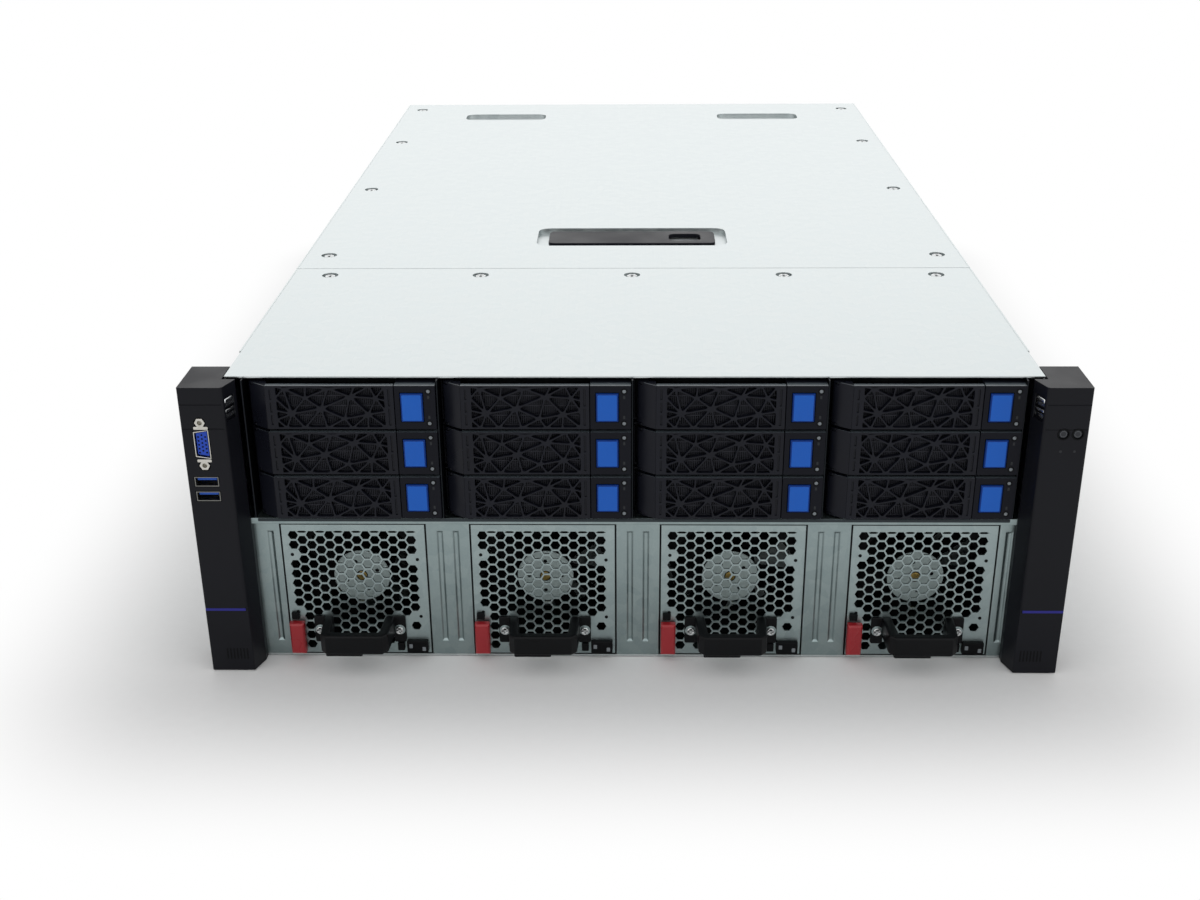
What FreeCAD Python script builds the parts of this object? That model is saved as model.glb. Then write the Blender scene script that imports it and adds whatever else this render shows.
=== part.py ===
import FreeCAD, Part
import itertools
import math
import os

# Rack server, four rack units tall: twelve disk carriers above four fan modules.
# Millimetres, +Z up, +X to the right seen from the front, front towards -Y.
# While modelling, Y = 0 is the front plane of the rack ears and Y grows towards the rear.
# Every saved piece is moved so that the origin is under the middle of the whole server.

# Overall sizes
overall_depth = 800.0
sheet = 1.2
cover_sheet = 1.0
cover_flange = 10.0
seam_gap = 0.6
running_gap = 0.3
side_space = 8.8
ear_flange = 21.3

# Rack ears
ear_face_width = 24.0
ear_depth = 32.0
rack_post_space = 24.0
ear_step = 0.6
stripe_height = 1.6
stripe_depth = 0.8
stripe_z = 39.5
seam_depth = 0.4
seam_height = 0.5
ear_face_round = 2.2
ear_outer_round = 1.0
ear_gap = 3.0
ear_slant_round = 0.8
spring_slot_margin = 2.2
spring_slot_depth = 1.8
spring_slot_drop = 7.0
spring_slot_height = 13.5
spring_strips = [(2.0, 3.0, 0.3), (9.8, 2.0, 0.9)]

# Disk carriers
columns = 4
rows = 3
disk_width = 101.6
disk_height = 25.4
disk_length = 147.0
rail_sheet = 1.0
divider_sheet = 0.8
ledge_sheet = 0.5
ledge_width = 1.4
head_gap = 0.8
carrier_face_depth = 11.0
front_plate_sheet = 1.4
front_plate_start = 14.0
front_plate_end = 21.0
rail_length = 162.0
rail_edge = 2.0

# Carrier lever with its triangulated grille
lever_thickness = 3.2
lever_seam = 0.4
pivot_x = 5.2
pivot_y = 8.6
barrel_radius = 3.4
pin_radius = 1.0
lug_radius = 3.0
slope_end = 12.0
ladder_width = 2.0
right_slot_width = 1.0
grille_rim = 1.9
web_width = 1.5
web_hubs = [(0.13, 0.34), (0.26, 0.71), (0.42, 0.45), (0.61, 0.23), (0.68, 0.76), (0.84, 0.33), (0.91, 0.74)]
web_bottom = [0.0, 0.25, 0.44, 0.68, 1.0]
web_top = [0.0, 0.07, 0.48, 0.87, 1.0]
web_left = [0.5]
web_right = [0.42]

# Bezel block and release button of a carrier
block_width = 22.0
block_depth = 18.0
block_wall = 1.6
button_width = 12.0
button_rim = 4.5
button_offset = 9.2
button_proud = 0.8
button_depth = 5.0
button_flange = 1.2
flange_gap = 0.2
lens_size = 2.0
lens_inset = 3.7
lens_rise = 3.4
lens_proud = 0.3

# Fan modules
fan_width = 82.0
fan_height = 85.5
fan_sheet = 1.0
fan_case_depth = 30.0
fan_face_depth = 17.0
fan_spread = 2.1
fan_shift = 3.3
fan_frame_start = 10.0
fan_frame_depth = 38.0
duct_wall = 1.8
blade_clearance = 1.4
blade_count = 7
hub_radius = 15.5
hub_front = 17.0
hub_length = 25.0
hub_boss_radius = 3.2
blade_pitch = 42.0
blade_thickness = 1.6
root_chord = 20.0
tip_chord = 26.0
tip_relief = 3.0
motor_base_radius = 16.0
motor_base_depth = 4.0
shaft_radius = 2.0
strut_width = 5.0
hex_pitch = 15.4
hex_flats = 13.2
hex_margin = 3.0
handle_width = 38.4
handle_root_width = 41.0
handle_reach = 24.0
handle_bar = 5.5
handle_z = 13.4
handle_height = 12.1
handle_foot = 5.0
handle_foot_height = 17.0
handle_foot_sheet = 1.6
screw_radius = 2.6
screw_height = 1.4
indicator_width = 12.4
indicator_height = 8.0
indicator_depth = 3.0
indicator_z = 3.5
indicator_inset = 2.0
latch_width = 8.5
latch_height = 20.0
latch_z = 2.5
latch_proud = 5.6
latch_gap = 1.2
latch_arm = 2.2
latch_pivot_y = 6.5
latch_barrel = 2.0
latch_swing = 8.0
fan_plug_size = 14.0
fan_plug_depth = 8.0

# Cage round the carriers and the fans
shelf_lip = 3.8
lip_gap = 1.0
cover_gap = 1.2
cage_setback = 2.0
cover_setback = 6.0
lid_overlap = 24.0
rib_width = 3.6
rib_proud = 1.0
rib_spacing = 9.0
rib_end = 9.0
outer_rib_inset = 5.5

# Front sockets and buttons
socket_inset = 10.3
video_z = 142.3
video_height = 16.9
video_width = 8.3
video_taper = 1.2
shell_wall = 0.5
socket_depth = 12.0
standoff_spacing = 25.0
standoff_flats = 5.0
usb_z = [120.2, 111.4]
usb_width = 13.1
usb_height = 5.7
usb_tongue = 1.9
round_button_radius = 2.5
round_button_ring = 3.3
round_button_length = 6.0
round_button_travel = 1.2
round_button_z = 148.6
power_button_inset = 5.6
locator_button_inset = 13.2

# Boards and cooling
board_thickness = 1.6
board_post_height = 6.0
board_post_flats = 5.5
main_board_length = 416.5
board_side_space = 10.8
board_supply_space = 10.0
board_post_inset = 8.0
rear_post_inset = 30.0
vent_offset = 2.0
air_slot_width = 40.0
air_slot_height = 14.0
air_slot_rise = 6.0
plug_offset = 40.0
plug_width = 33.0
plug_height = 6.0
plug_rise = 3.0
fan_board_rise = 18.0
rear_socket_depth = 22.0
rear_socket_proud = 0.5
sink_width = 92.0
sink_length = 108.0
sink_height = 64.0
sink_base = 6.0
sink_start = 40.0
sink_fins = 15
fin_thickness = 1.0
processor_height = 5.0
processor_size = 58.0
memory_length = 133.4
memory_height = 31.3
memory_thickness = 4.0
memory_pitch = 9.4
memory_per_bank = 5
memory_space = 12.0

# Power supplies
supply_width = 73.5
supply_height = 39.5
supply_length = 185.0
supply_side = 7.3
supply_space = 6.5
supply_grip = 30.0
supply_grip_x = 3.0
supply_grip_width = 34.0
supply_grip_height = 20.0
supply_grip_bar = 6.0
supply_inlet_width = 28.0
supply_inlet_height = 21.0
supply_inlet_inset = 6.0
inlet_depth = 16.0
inlet_pin = 2.0
inlet_pin_pitch = 7.0
inlet_pin_rise = 4.0
inlet_pin_sunk = 3.0
supply_vents = 4
supply_vent_pitch = 5.5
supply_vent_width = 3.2

# Rear wall
slot_count = 7
slot_pitch = 20.32
slot_width = 14.0
slot_headroom = 9.0
slot_left = -30.0
slot_bottom = 60.0
slot_cover_gap = 0.5
slot_cover_lap = 4.0
vent_width = 6.0
vent_height = 30.0
vent_pitch = 12.0
vent_count = 12
vent_rows = [70.0, 110.0]
rear_socket_sizes = [(18.0, 16.0, 13.5), (38.0, 16.0, 13.5), (62.0, 13.1, 15.5), (88.0, 31.0, 12.5)]
stud_radius = 3.5
stud_length = 4.5
stud_front = 120.0
stud_rear_inset = 83.0
stud_z = 88.0

# Sizes that follow from the values above
carrier_width = disk_width + 2 * rail_sheet
column_pitch = carrier_width + 2 * running_gap + divider_sheet
row_pitch = disk_height + ledge_sheet + running_gap + head_gap
field_half = columns * column_pitch / 2
fan_base = sheet + running_gap
lip_bottom = fan_base + fan_height + lip_gap
shelf_top = lip_bottom + shelf_lip
shelf_bottom = shelf_top - sheet
wall_top = shelf_top + rows * row_pitch + cover_gap
body_height = wall_top + cover_sheet
inner_half = field_half + side_space
body_half = inner_half + sheet
rack_half = body_half + ear_flange
tub_front = fan_face_depth
front_overhang = max(handle_reach - fan_face_depth, 0.0)
middle_depth = overall_depth / 2 - front_overhang
tub_rear = overall_depth - front_overhang - supply_grip
backplane_front = carrier_face_depth + front_plate_start + rail_length + 1.0
cage_front = carrier_face_depth + cage_setback
cover_front = carrier_face_depth + cover_setback
lid_seam = backplane_front + lid_overlap
lever_length = carrier_width - block_width - lever_seam
fan_board_front = fan_face_depth + fan_frame_start + fan_frame_depth + fan_plug_depth + running_gap
main_board_rear = tub_rear - sheet - running_gap
main_board_front = main_board_rear - main_board_length
button_height = disk_height - 2 * button_rim
main_board_bottom = sheet + board_post_height
main_board_top = main_board_bottom + board_thickness
right_supply = inner_half - supply_side - supply_width
left_supply = right_supply - supply_space - supply_width
supply_left = [left_supply, right_supply]
main_board_left = board_side_space - inner_half
main_board_right = left_supply - board_supply_space
main_board_middle = (main_board_left + main_board_right) / 2
processor_offset = (main_board_right - main_board_left) / 4
slot_height = wall_top - slot_bottom - slot_headroom
stud_rear = tub_rear - stud_rear_inset
stud_places = [stud_front, (stud_front + stud_rear) / 2, stud_rear]
socket_x = rack_half - socket_inset
power_button_x = rack_half - power_button_inset
locator_button_x = rack_half - locator_button_inset
fan_frame_size = min(fan_width, fan_height) - 2 * fan_sheet
duct_radius = fan_frame_size / 2 - duct_wall


def V(x, y, z):
    return FreeCAD.Vector(x, y, z)


def box(x0, x1, y0, y1, z0, z1):
    return Part.makeBox(x1 - x0, y1 - y0, z1 - z0, V(x0, y0, z0))


def rod_x(x0, x1, y, z, radius):
    return Part.makeCylinder(radius, x1 - x0, V(x0, y, z), V(1, 0, 0))


def rod_y(y0, y1, x, z, radius):
    return Part.makeCylinder(radius, y1 - y0, V(x, y0, z), V(0, 1, 0))


def rod_z(z0, z1, x, y, radius):
    return Part.makeCylinder(radius, z1 - z0, V(x, y, z0), V(0, 0, 1))


def plan_prism(outline, z0, z1):
    """An outline drawn from above, made z1 - z0 tall."""
    points = [V(x, y, z0) for x, y in outline]
    face = Part.Face(Part.makePolygon(points + points[:1]))
    return face.extrude(V(0, 0, z1 - z0))


def front_prism(outline, y0, y1):
    """An outline drawn from the front, made y1 - y0 deep."""
    points = [V(x, y0, z) for x, z in outline]
    face = Part.Face(Part.makePolygon(points + points[:1]))
    return face.extrude(V(0, y1 - y0, 0))


def fuse(shapes):
    joined = shapes[0].multiFuse(shapes[1:])
    return joined.removeSplitter()


def cut(shape, tools):
    return shape.cut(Part.makeCompound(tools))


def moved(shape, x, y, z):
    copy = shape.copy()
    copy.translate(V(x, y, z))
    return copy


def save(name, solids, x=0.0, y=0.0, z=0.0):
    """Write one sub-part, with the origin under the middle of the server."""
    group = Part.makeCompound([moved(s, x, y - middle_depth, z) for s in solids])
    group.exportStep("parts/" + name + ".step")


def hexagon(x, z, flats):
    """Corners of a hexagon with flat top and bottom."""
    corner = flats / math.sqrt(3)
    turns = [math.radians(60 * i) for i in range(6)]
    return [(x + corner * math.cos(t), z + corner * math.sin(t)) for t in turns]


def tangent_point(centre, radius, outside, side):
    """Where a line from an outside point touches a circle; side is +1 or -1."""
    dx = outside[0] - centre[0]
    dy = outside[1] - centre[1]
    turn = math.atan2(dy, dx) + side * math.acos(radius / math.hypot(dx, dy))
    return (centre[0] + radius * math.cos(turn), centre[1] + radius * math.sin(turn))


# Carrier: local X from its left edge, Y from its face, Z from its underside

def carrier_frame():
    """Two side rails, the plates behind the lever with the hinge lugs, and the bezel block."""
    pieces = []
    rail_end = front_plate_start + rail_length
    for x in (0.0, carrier_width - rail_sheet):
        pieces.append(box(x, x + rail_sheet, front_plate_start, rail_end, 0, disk_height - rail_edge))
    for z in (0.0, disk_height - front_plate_sheet):
        top = z + front_plate_sheet
        pieces.append(box(0, carrier_width, front_plate_start, front_plate_end, z, top))
        pieces.append(plan_prism(lug_outline(), z, top))
    left = carrier_width - block_width
    block = box(left, carrier_width, 0, block_depth, 0, disk_height)
    pieces.append(block)
    frame = fuse(pieces)
    hollow = box(left + block_wall, carrier_width - block_wall, block_wall, front_plate_end,
                 front_plate_sheet, disk_height - front_plate_sheet)
    centre = left + button_offset
    half_width = button_width / 2 + running_gap
    half_height = button_height / 2 + running_gap
    middle = disk_height / 2
    mouth = box(centre - half_width, centre + half_width, 0, block_wall,
                middle - half_height, middle + half_height)
    return cut(frame, [hollow, mouth])


def lug_outline():
    """Hinge lug that reaches forward from the front plate to the pivot, with bevelled corners."""
    bevel = lug_radius * 0.6
    left = pivot_x - lug_radius
    right = pivot_x + lug_radius
    tip = pivot_y - lug_radius
    return [(left, front_plate_start), (left, tip + bevel), (left + bevel, tip), (right - bevel, tip),
            (right, tip + bevel), (right, front_plate_start)]


def indicator_lenses():
    """Two small lenses on the face of the bezel block."""
    x = carrier_width - lens_inset
    half = lens_size / 2
    places = (lens_rise, disk_height - lens_rise)
    return [box(x - half, x + half, -lens_proud, 0, z - half, z + half) for z in places]


def disk():
    """A sealed disk drive with its stepped lid."""
    left = rail_sheet
    right = carrier_width - rail_sheet
    rear = front_plate_end + disk_length
    body = box(left, right, front_plate_end, rear, 0, disk_height - 3)
    lid = box(left + 4, right - 4, front_plate_end + 3, rear - 12, disk_height - 3, disk_height)
    return fuse([body, lid])


def hinge_pin():
    return rod_z(front_plate_sheet, disk_height - front_plate_sheet, pivot_x, pivot_y, pin_radius)


def web_cells(x0, x1, z0, z1):
    """Delaunay triangles between the hubs and the rim, each shrunk by half a web."""
    rim = [(u, 0.0) for u in web_bottom] + [(u, 1.0) for u in web_top]
    rim += [(0.0, v) for v in web_left] + [(1.0, v) for v in web_right]
    spots = [(x0 + u * (x1 - x0), z0 + v * (z1 - z0)) for u, v in web_hubs + rim]
    cells = []
    for a, b, c in itertools.combinations(spots, 3):
        twice_area = (b[0] - a[0]) * (c[1] - a[1]) - (c[0] - a[0]) * (b[1] - a[1])
        if abs(twice_area) < 1e-6:
            continue
        a2, b2, c2 = (p[0] ** 2 + p[1] ** 2 for p in (a, b, c))
        ux = (a2 * (b[1] - c[1]) + b2 * (c[1] - a[1]) + c2 * (a[1] - b[1])) / (2 * twice_area)
        uz = (a2 * (c[0] - b[0]) + b2 * (a[0] - c[0]) + c2 * (b[0] - a[0])) / (2 * twice_area)
        reach = math.hypot(a[0] - ux, a[1] - uz)
        if any(math.hypot(p[0] - ux, p[1] - uz) < reach - 1e-6 for p in spots):
            continue
        sides = [math.dist(b, c), math.dist(c, a), math.dist(a, b)]
        total = sum(sides)
        inradius = abs(twice_area) / total
        shrink = 1 - web_width / 2 / inradius
        if shrink < 0.15:
            continue
        ix = (sides[0] * a[0] + sides[1] * b[0] + sides[2] * c[0]) / total
        iz = (sides[0] * a[1] + sides[1] * b[1] + sides[2] * c[1]) / total
        cells.append([(ix + shrink * (p[0] - ix), iz + shrink * (p[1] - iz)) for p in (a, b, c)])
    return cells


def lever():
    """Slanted end with the hinge barrel, and the open web that covers the carrier's front."""
    pivot = (pivot_x, pivot_y)
    face_start = (slope_end, 0.0)
    back_start = (slope_end + lever_thickness, lever_thickness)
    front_touch = tangent_point(pivot, barrel_radius, face_start, -1)
    back_touch = tangent_point(pivot, barrel_radius, back_start, 1)
    corners = [back_touch, back_start, (lever_length, lever_thickness), (lever_length, 0.0),
               face_start, front_touch]
    points = [V(x, y, 0) for x, y in corners]
    edges = [Part.LineSegment(p, q).toShape() for p, q in zip(points, points[1:])]
    far_side = V(pivot_x - barrel_radius, pivot_y, 0)
    edges.append(Part.Arc(points[-1], far_side, points[0]).toShape())
    body = Part.Face(Part.Wire(edges)).extrude(V(0, 0, disk_height))
    lug_room = barrel_radius + running_gap
    lug_height = front_plate_sheet + running_gap
    tools = [rod_z(0, lug_height, pivot_x, pivot_y, lug_room)]
    tools.append(rod_z(disk_height - lug_height, disk_height, pivot_x, pivot_y, lug_room))
    tools.append(rod_z(0, disk_height, pivot_x, pivot_y, pin_radius + running_gap))
    left_ladder = slope_end + grille_rim
    right_ladder = lever_length - grille_rim - right_slot_width
    for x, width, count in ((left_ladder, ladder_width, 3), (right_ladder, right_slot_width, 1)):
        step = (disk_height - grille_rim) / count
        for i in range(count):
            low = grille_rim + i * step
            tools.append(box(x, x + width, 0, lever_thickness * 2, low, low + step - grille_rim))
    field = (left_ladder + ladder_width + grille_rim / 2, right_ladder - grille_rim / 2)
    for cell in web_cells(*field, grille_rim / 2, disk_height - grille_rim / 2):
        tools.append(front_prism(cell, 0, lever_thickness * 2))
    return cut(body, tools)


def release_button():
    """Pad with a bevelled rim and the flange that keeps it in the bezel block."""
    centre = carrier_width - block_width + button_offset
    half_width = button_width / 2
    half_height = button_height / 2
    middle = disk_height / 2
    pad = box(centre - half_width, centre + half_width, -button_proud, button_depth,
              middle - half_height, middle + half_height)
    front = [e for e in pad.Edges if e.BoundBox.YMax < -button_proud + 1e-6]
    pad = pad.makeChamfer(button_proud / 2, front)
    start = block_wall + flange_gap
    flange = box(centre - half_width - 1, centre + half_width + 1, start, start + button_flange,
                 middle - half_height - 1, middle + half_height + 1)
    return fuse([pad, flange])


def build_carriers():
    frame_pieces = [carrier_frame(), disk(), hinge_pin()] + indicator_lenses()
    lever_piece = lever()
    button_piece = release_button()
    for row in range(rows):
        z = shelf_top + (rows - 1 - row) * row_pitch + ledge_sheet + running_gap
        for column in range(columns):
            x = -field_half + column * column_pitch + divider_sheet / 2 + running_gap
            tag = "%d%d" % (row + 1, column + 1)
            save("drive_tray_" + tag, frame_pieces, x, carrier_face_depth, z)
            save("tray_lever_" + tag, [lever_piece], x, carrier_face_depth, z)
            save("tray_button_" + tag, [button_piece], x, carrier_face_depth, z)


# Fan module: local X from its left edge, Y from its face, Z from its underside

fan_middle_x = fan_width / 2
fan_middle_z = fan_height / 2
latch_x = fan_sheet + latch_width / 2 - running_gap


def fan_left(i):
    """Left side of fan module i: the modules stand a little wider apart than the carriers."""
    return fan_shift + (i - (columns - 1) / 2) * (column_pitch + fan_spread) - fan_width / 2


def hex_holes():
    """Staggered hexagons over the plate, clear of the rim and of the latch slot."""
    column_step = hex_pitch * math.sqrt(3) / 2
    reach = int(fan_width / column_step / 2)
    holes = []
    for i in range(-reach, reach + 1):
        for j in range(-reach, reach + 1):
            x = fan_middle_x + i * column_step
            z = fan_middle_z + (j + 0.5 * (i % 2)) * hex_pitch
            side_room = min(x, fan_width - x) - hex_flats / math.sqrt(3)
            end_room = min(z, fan_height - z) - hex_flats / 2
            in_latch = x < latch_width + hex_flats and z < latch_z + latch_height + hex_flats
            if side_room > hex_margin and end_room > hex_margin and not in_latch:
                holes.append(front_prism(hexagon(x, z, hex_flats), 0, fan_sheet))
    return holes


def fan_case():
    """Folded sheet-metal tray with the perforated front and the slot for the latch arm."""
    shell = box(0, fan_width, 0, fan_case_depth, 0, fan_height)
    inside = box(fan_sheet, fan_width - fan_sheet, fan_sheet, fan_case_depth,
                 fan_sheet, fan_height - fan_sheet)
    arm_swing = latch_pivot_y * math.sin(math.radians(latch_swing))
    slot = box(latch_x - latch_barrel, latch_x + latch_barrel + arm_swing, 0, fan_sheet,
               latch_z + 2, latch_z + latch_height - 2)
    return cut(shell, [inside, slot] + hex_holes())


def fan_frame():
    """Square frame with a round duct, four struts and the motor base."""
    half = fan_frame_size / 2
    rear = fan_frame_start + fan_frame_depth
    base_front = rear - motor_base_depth
    block = box(fan_middle_x - half, fan_middle_x + half, fan_frame_start, rear,
                fan_middle_z - half, fan_middle_z + half)
    block = block.cut(rod_y(fan_frame_start, rear, fan_middle_x, fan_middle_z, duct_radius))
    struts = [rod_y(base_front, rear, fan_middle_x, fan_middle_z, motor_base_radius)]
    for turn in (45, 135):
        strut = box(-half, half, base_front, rear, -strut_width / 2, strut_width / 2)
        strut.rotate(V(0, 0, 0), V(0, 1, 0), turn)
        struts.append(moved(strut, fan_middle_x, 0, fan_middle_z))
    frame = fuse([block] + struts)
    return frame.cut(rod_y(base_front, rear, fan_middle_x, fan_middle_z, shaft_radius + running_gap))


def fan_blade():
    """Flat pitched blade that widens from the hub to the tip, upright on +Z."""
    tip = duct_radius - blade_clearance
    root = hub_radius - 2.0
    tip_end = tip - tip_relief
    outline = [(-root_chord / 2, root), (root_chord / 2, root),
               (tip_chord / 2, tip_end), (-tip_chord / 2, tip_end)]
    blade = front_prism(outline, -blade_thickness / 2, blade_thickness / 2)
    blade.rotate(V(0, 0, 0), V(0, 0, 1), blade_pitch)
    return moved(blade, 0, hub_front + hub_length / 2, 0)


def fan_rotor():
    """Hub cup with pitched blades and the shaft that turns in the motor base."""
    hub_rear = hub_front + hub_length
    rear = fan_frame_start + fan_frame_depth
    hub = rod_y(hub_front, hub_rear, 0, 0, hub_radius)
    boss = rod_y(hub_front - 1, hub_front, 0, 0, hub_boss_radius)
    shaft = rod_y(hub_rear, rear - 1, 0, 0, shaft_radius)
    blades = []
    for i in range(blade_count):
        blade = fan_blade()
        blade.rotate(V(0, 0, 0), V(0, 1, 0), 360.0 * i / blade_count)
        blades.append(blade)
    rotor = fuse([hub, boss, shaft] + blades)
    return moved(rotor, fan_middle_x, 0, fan_middle_z)


def fan_handle():
    """Bail that narrows towards its grip, with bevelled corners and two screwed feet."""
    half = handle_width / 2
    root = handle_root_width / 2
    bevel = handle_bar * 0.6
    outer = [(-root, 0), (-half, bevel - handle_reach), (bevel - half, -handle_reach),
             (half - bevel, -handle_reach), (half, bevel - handle_reach), (root, 0)]
    inner = [(root - handle_bar, 0), (half - handle_bar, handle_bar - handle_reach),
             (handle_bar - half, handle_bar - handle_reach), (handle_bar - root, 0)]
    outline = [(fan_middle_x + x, y) for x, y in outer + inner]
    foot_top = handle_z + handle_height
    bail = plan_prism(outline, handle_z, foot_top)
    feet = []
    for x in handle_screw_places():
        feet.append(box(x - handle_foot / 2 - 1, x + handle_foot / 2 + 1, -handle_foot_sheet, 0,
                        foot_top - handle_foot_height, foot_top))
    return fuse([bail] + feet)


def handle_screw_places():
    offset = (handle_root_width + handle_foot) / 2
    return (fan_middle_x - offset, fan_middle_x + offset)


def handle_screws():
    z = handle_z + handle_height - handle_foot_height / 2
    front = -handle_foot_sheet
    return [rod_y(front - screw_height, front, x, z, screw_radius) for x in handle_screw_places()]


def fan_latch():
    """Finger pad in front of the plate and an arm to the pivot barrel behind it."""
    low = latch_z + 3
    high = latch_z + latch_height - 3
    pad = box(latch_x - latch_width / 2, latch_x + latch_width / 2, -latch_proud, -latch_gap,
              latch_z, latch_z + latch_height)
    front = [e for e in pad.Edges if e.BoundBox.YMax < -latch_proud + 1e-6]
    pad = pad.makeChamfer(1.0, front)
    arm = box(latch_x - latch_arm / 2, latch_x + latch_arm / 2, -latch_proud / 2, latch_pivot_y, low, high)
    barrel = rod_z(low, high, latch_x, latch_pivot_y, latch_barrel)
    body = fuse([pad, arm, barrel])
    return body.cut(rod_z(low, high, latch_x, latch_pivot_y, pin_radius + running_gap))


def build_fans():
    latch_top = latch_z + latch_height
    module = [fan_case(), fan_frame(), fan_handle()] + handle_screws()
    right = fan_width - indicator_inset
    module.append(box(right - indicator_width, right, -indicator_depth, 0,
                      indicator_z, indicator_z + indicator_height))
    module.append(box(fan_sheet, fan_sheet + latch_width, -2.0, 0, latch_top + 1, latch_top + 6))
    module.append(rod_z(fan_sheet, latch_top, latch_x, latch_pivot_y, pin_radius))
    corner_x = fan_middle_x + fan_frame_size / 2
    corner_z = fan_middle_z + fan_frame_size / 2
    rear = fan_frame_start + fan_frame_depth
    module.append(box(corner_x - fan_plug_size, corner_x - 2, rear, rear + fan_plug_depth,
                      corner_z - fan_plug_size, corner_z - 2))
    rotor = fan_rotor()
    latch = fan_latch()
    for i in range(columns):
        x = fan_left(i)
        tag = str(i + 1)
        save("fan_module_" + tag, module, x, fan_face_depth, fan_base)
        save("fan_rotor_" + tag, [rotor], x, fan_face_depth, fan_base)
        save("fan_latch_" + tag, [latch], x, fan_face_depth, fan_base)


# Cage

def upright(x, sides):
    """Thin wall between two carrier columns, with a ledge under each carrier rail."""
    half = divider_sheet / 2
    pieces = [box(x - half, x + half, cage_front, backplane_front, shelf_top, wall_top)]
    for side in sides:
        edge = x + side * half
        x0 = min(edge, edge + side * ledge_width)
        for row in range(rows):
            z = shelf_top + row * row_pitch
            pieces.append(box(x0, x0 + ledge_width, cage_front + 14, backplane_front, z, z + ledge_sheet))
    return fuse(pieces)


def rib(x):
    """Vertical embossed rib with sloping flanks and ends on the face of a fan divider."""
    base = fan_face_depth
    wires = []
    for y, grow in ((base, 0.0), (base - rib_proud, -rib_proud)):
        half = rib_width / 2 + grow
        low = sheet + rib_end - grow
        high = shelf_bottom - rib_end + grow
        points = [V(x - half, y, low), V(x + half, y, low), V(x + half, y, high), V(x - half, y, high)]
        wires.append(Part.makePolygon(points + points[:1]))
    return Part.makeLoft(wires, True, True)


def fan_divider(x0, x1, rib_places):
    """Channel between two fan modules that carries the shelf."""
    outer = box(x0, x1, fan_face_depth, fan_board_front, sheet, shelf_bottom)
    inner = box(x0 + sheet, x1 - sheet, fan_face_depth + sheet, fan_board_front, sheet, shelf_bottom)
    return fuse([outer.cut(inner)] + [rib(x) for x in rib_places])


def build_cage():
    shelf = box(-inner_half, inner_half, cage_front, backplane_front, shelf_bottom, shelf_top)
    lip = box(-inner_half, inner_half, cage_front, cage_front + sheet, lip_bottom, shelf_bottom)
    pieces = [fuse([shelf, lip])]
    for column in range(columns + 1):
        sides = []
        if column > 0:
            sides.append(-1)
        if column < columns:
            sides.append(1)
        pieces.append(upright(-field_half + column * column_pitch, sides))
    edges = [-inner_half]
    for i in range(columns):
        edges += [fan_left(i) - running_gap, fan_left(i) + fan_width + running_gap]
    edges.append(inner_half)
    last = len(edges) - 2
    for k in range(0, len(edges), 2):
        middle = (edges[k] + edges[k + 1]) / 2
        ribs = [middle - rib_spacing / 2, middle + rib_spacing / 2]
        if k == 0:
            ribs = [edges[1] - outer_rib_inset]
        if k == last:
            ribs = [edges[last] + outer_rib_inset]
        pieces.append(fan_divider(edges[k], edges[k + 1], ribs))
    save("front_cage", pieces)


# Chassis

def rear_openings():
    """Cut-outs of the rear wall: supplies, sockets, expansion slots and vents."""
    y0 = tub_rear - sheet
    tools = []
    for x in supply_left:
        tools.append(box(x - running_gap, x + supply_width + running_gap, y0, tub_rear,
                         sheet, fan_base + supply_height + running_gap))
    for x0, x1, z0, z1 in rear_sockets():
        tools.append(box(x0 - running_gap, x1 + running_gap, y0, tub_rear,
                         z0 - running_gap, z1 + running_gap))
    for i in range(slot_count):
        x = slot_left - i * slot_pitch
        tools.append(box(x - slot_width / 2, x + slot_width / 2, y0, tub_rear,
                         slot_bottom, slot_bottom + slot_height))
    for i in range(vent_count):
        x = supply_left[0] + i * vent_pitch
        for z in vent_rows:
            tools.append(box(x, x + vent_width, y0, tub_rear, z, z + vent_height))
    return tools


def rear_sockets():
    """Boxes (x0, x1, z0, z1) of the sockets on the main board's rear edge."""
    z = main_board_top
    spots = []
    for offset, width, height in rear_socket_sizes:
        x = main_board_left + offset
        spots.append((x, x + width, z, z + height))
    return spots


def build_tub():
    """Floor pan and side walls riveted along the edges, rear wall, rail studs and slot covers."""
    rear = tub_rear - sheet
    pieces = [box(-inner_half, inner_half, tub_front, rear, 0, sheet)]
    for x in (-body_half, inner_half):
        pieces.append(box(x, x + sheet, tub_front, rear, 0, wall_top))
    rear_wall = box(-body_half, body_half, rear, tub_rear, 0, wall_top)
    pieces.append(cut(rear_wall, rear_openings()))
    for side in (-1, 1):
        x0 = min(side * body_half, side * (body_half + stud_length))
        for y in stud_places:
            pieces.append(rod_x(x0, x0 + stud_length, y, stud_z, stud_radius))
    half_pitch = slot_pitch / 2 - slot_cover_gap
    for i in range(slot_count):
        x = slot_left - i * slot_pitch
        pieces.append(box(x - half_pitch, x + half_pitch, rear - cover_sheet, rear,
                          slot_bottom - slot_cover_lap, slot_bottom + slot_height + slot_cover_lap))
    save("chassis_tub", pieces)


def build_cover():
    """Fixed front panel over the carriers and the lid behind it, each with two edge strips."""
    pieces = []
    strip_front = ear_depth + rack_post_space
    lid_front = lid_seam + seam_gap
    for front, strip, rear in ((cover_front, strip_front, lid_seam), (lid_front, lid_front, tub_rear)):
        pieces.append(box(-body_half, body_half, front, rear, wall_top, body_height))
        for x in (-body_half - cover_sheet, body_half):
            pieces.append(box(x, x + cover_sheet, strip, rear, wall_top - cover_flange, body_height))
    save("top_cover", pieces)


# Ears, sockets and round buttons

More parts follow.
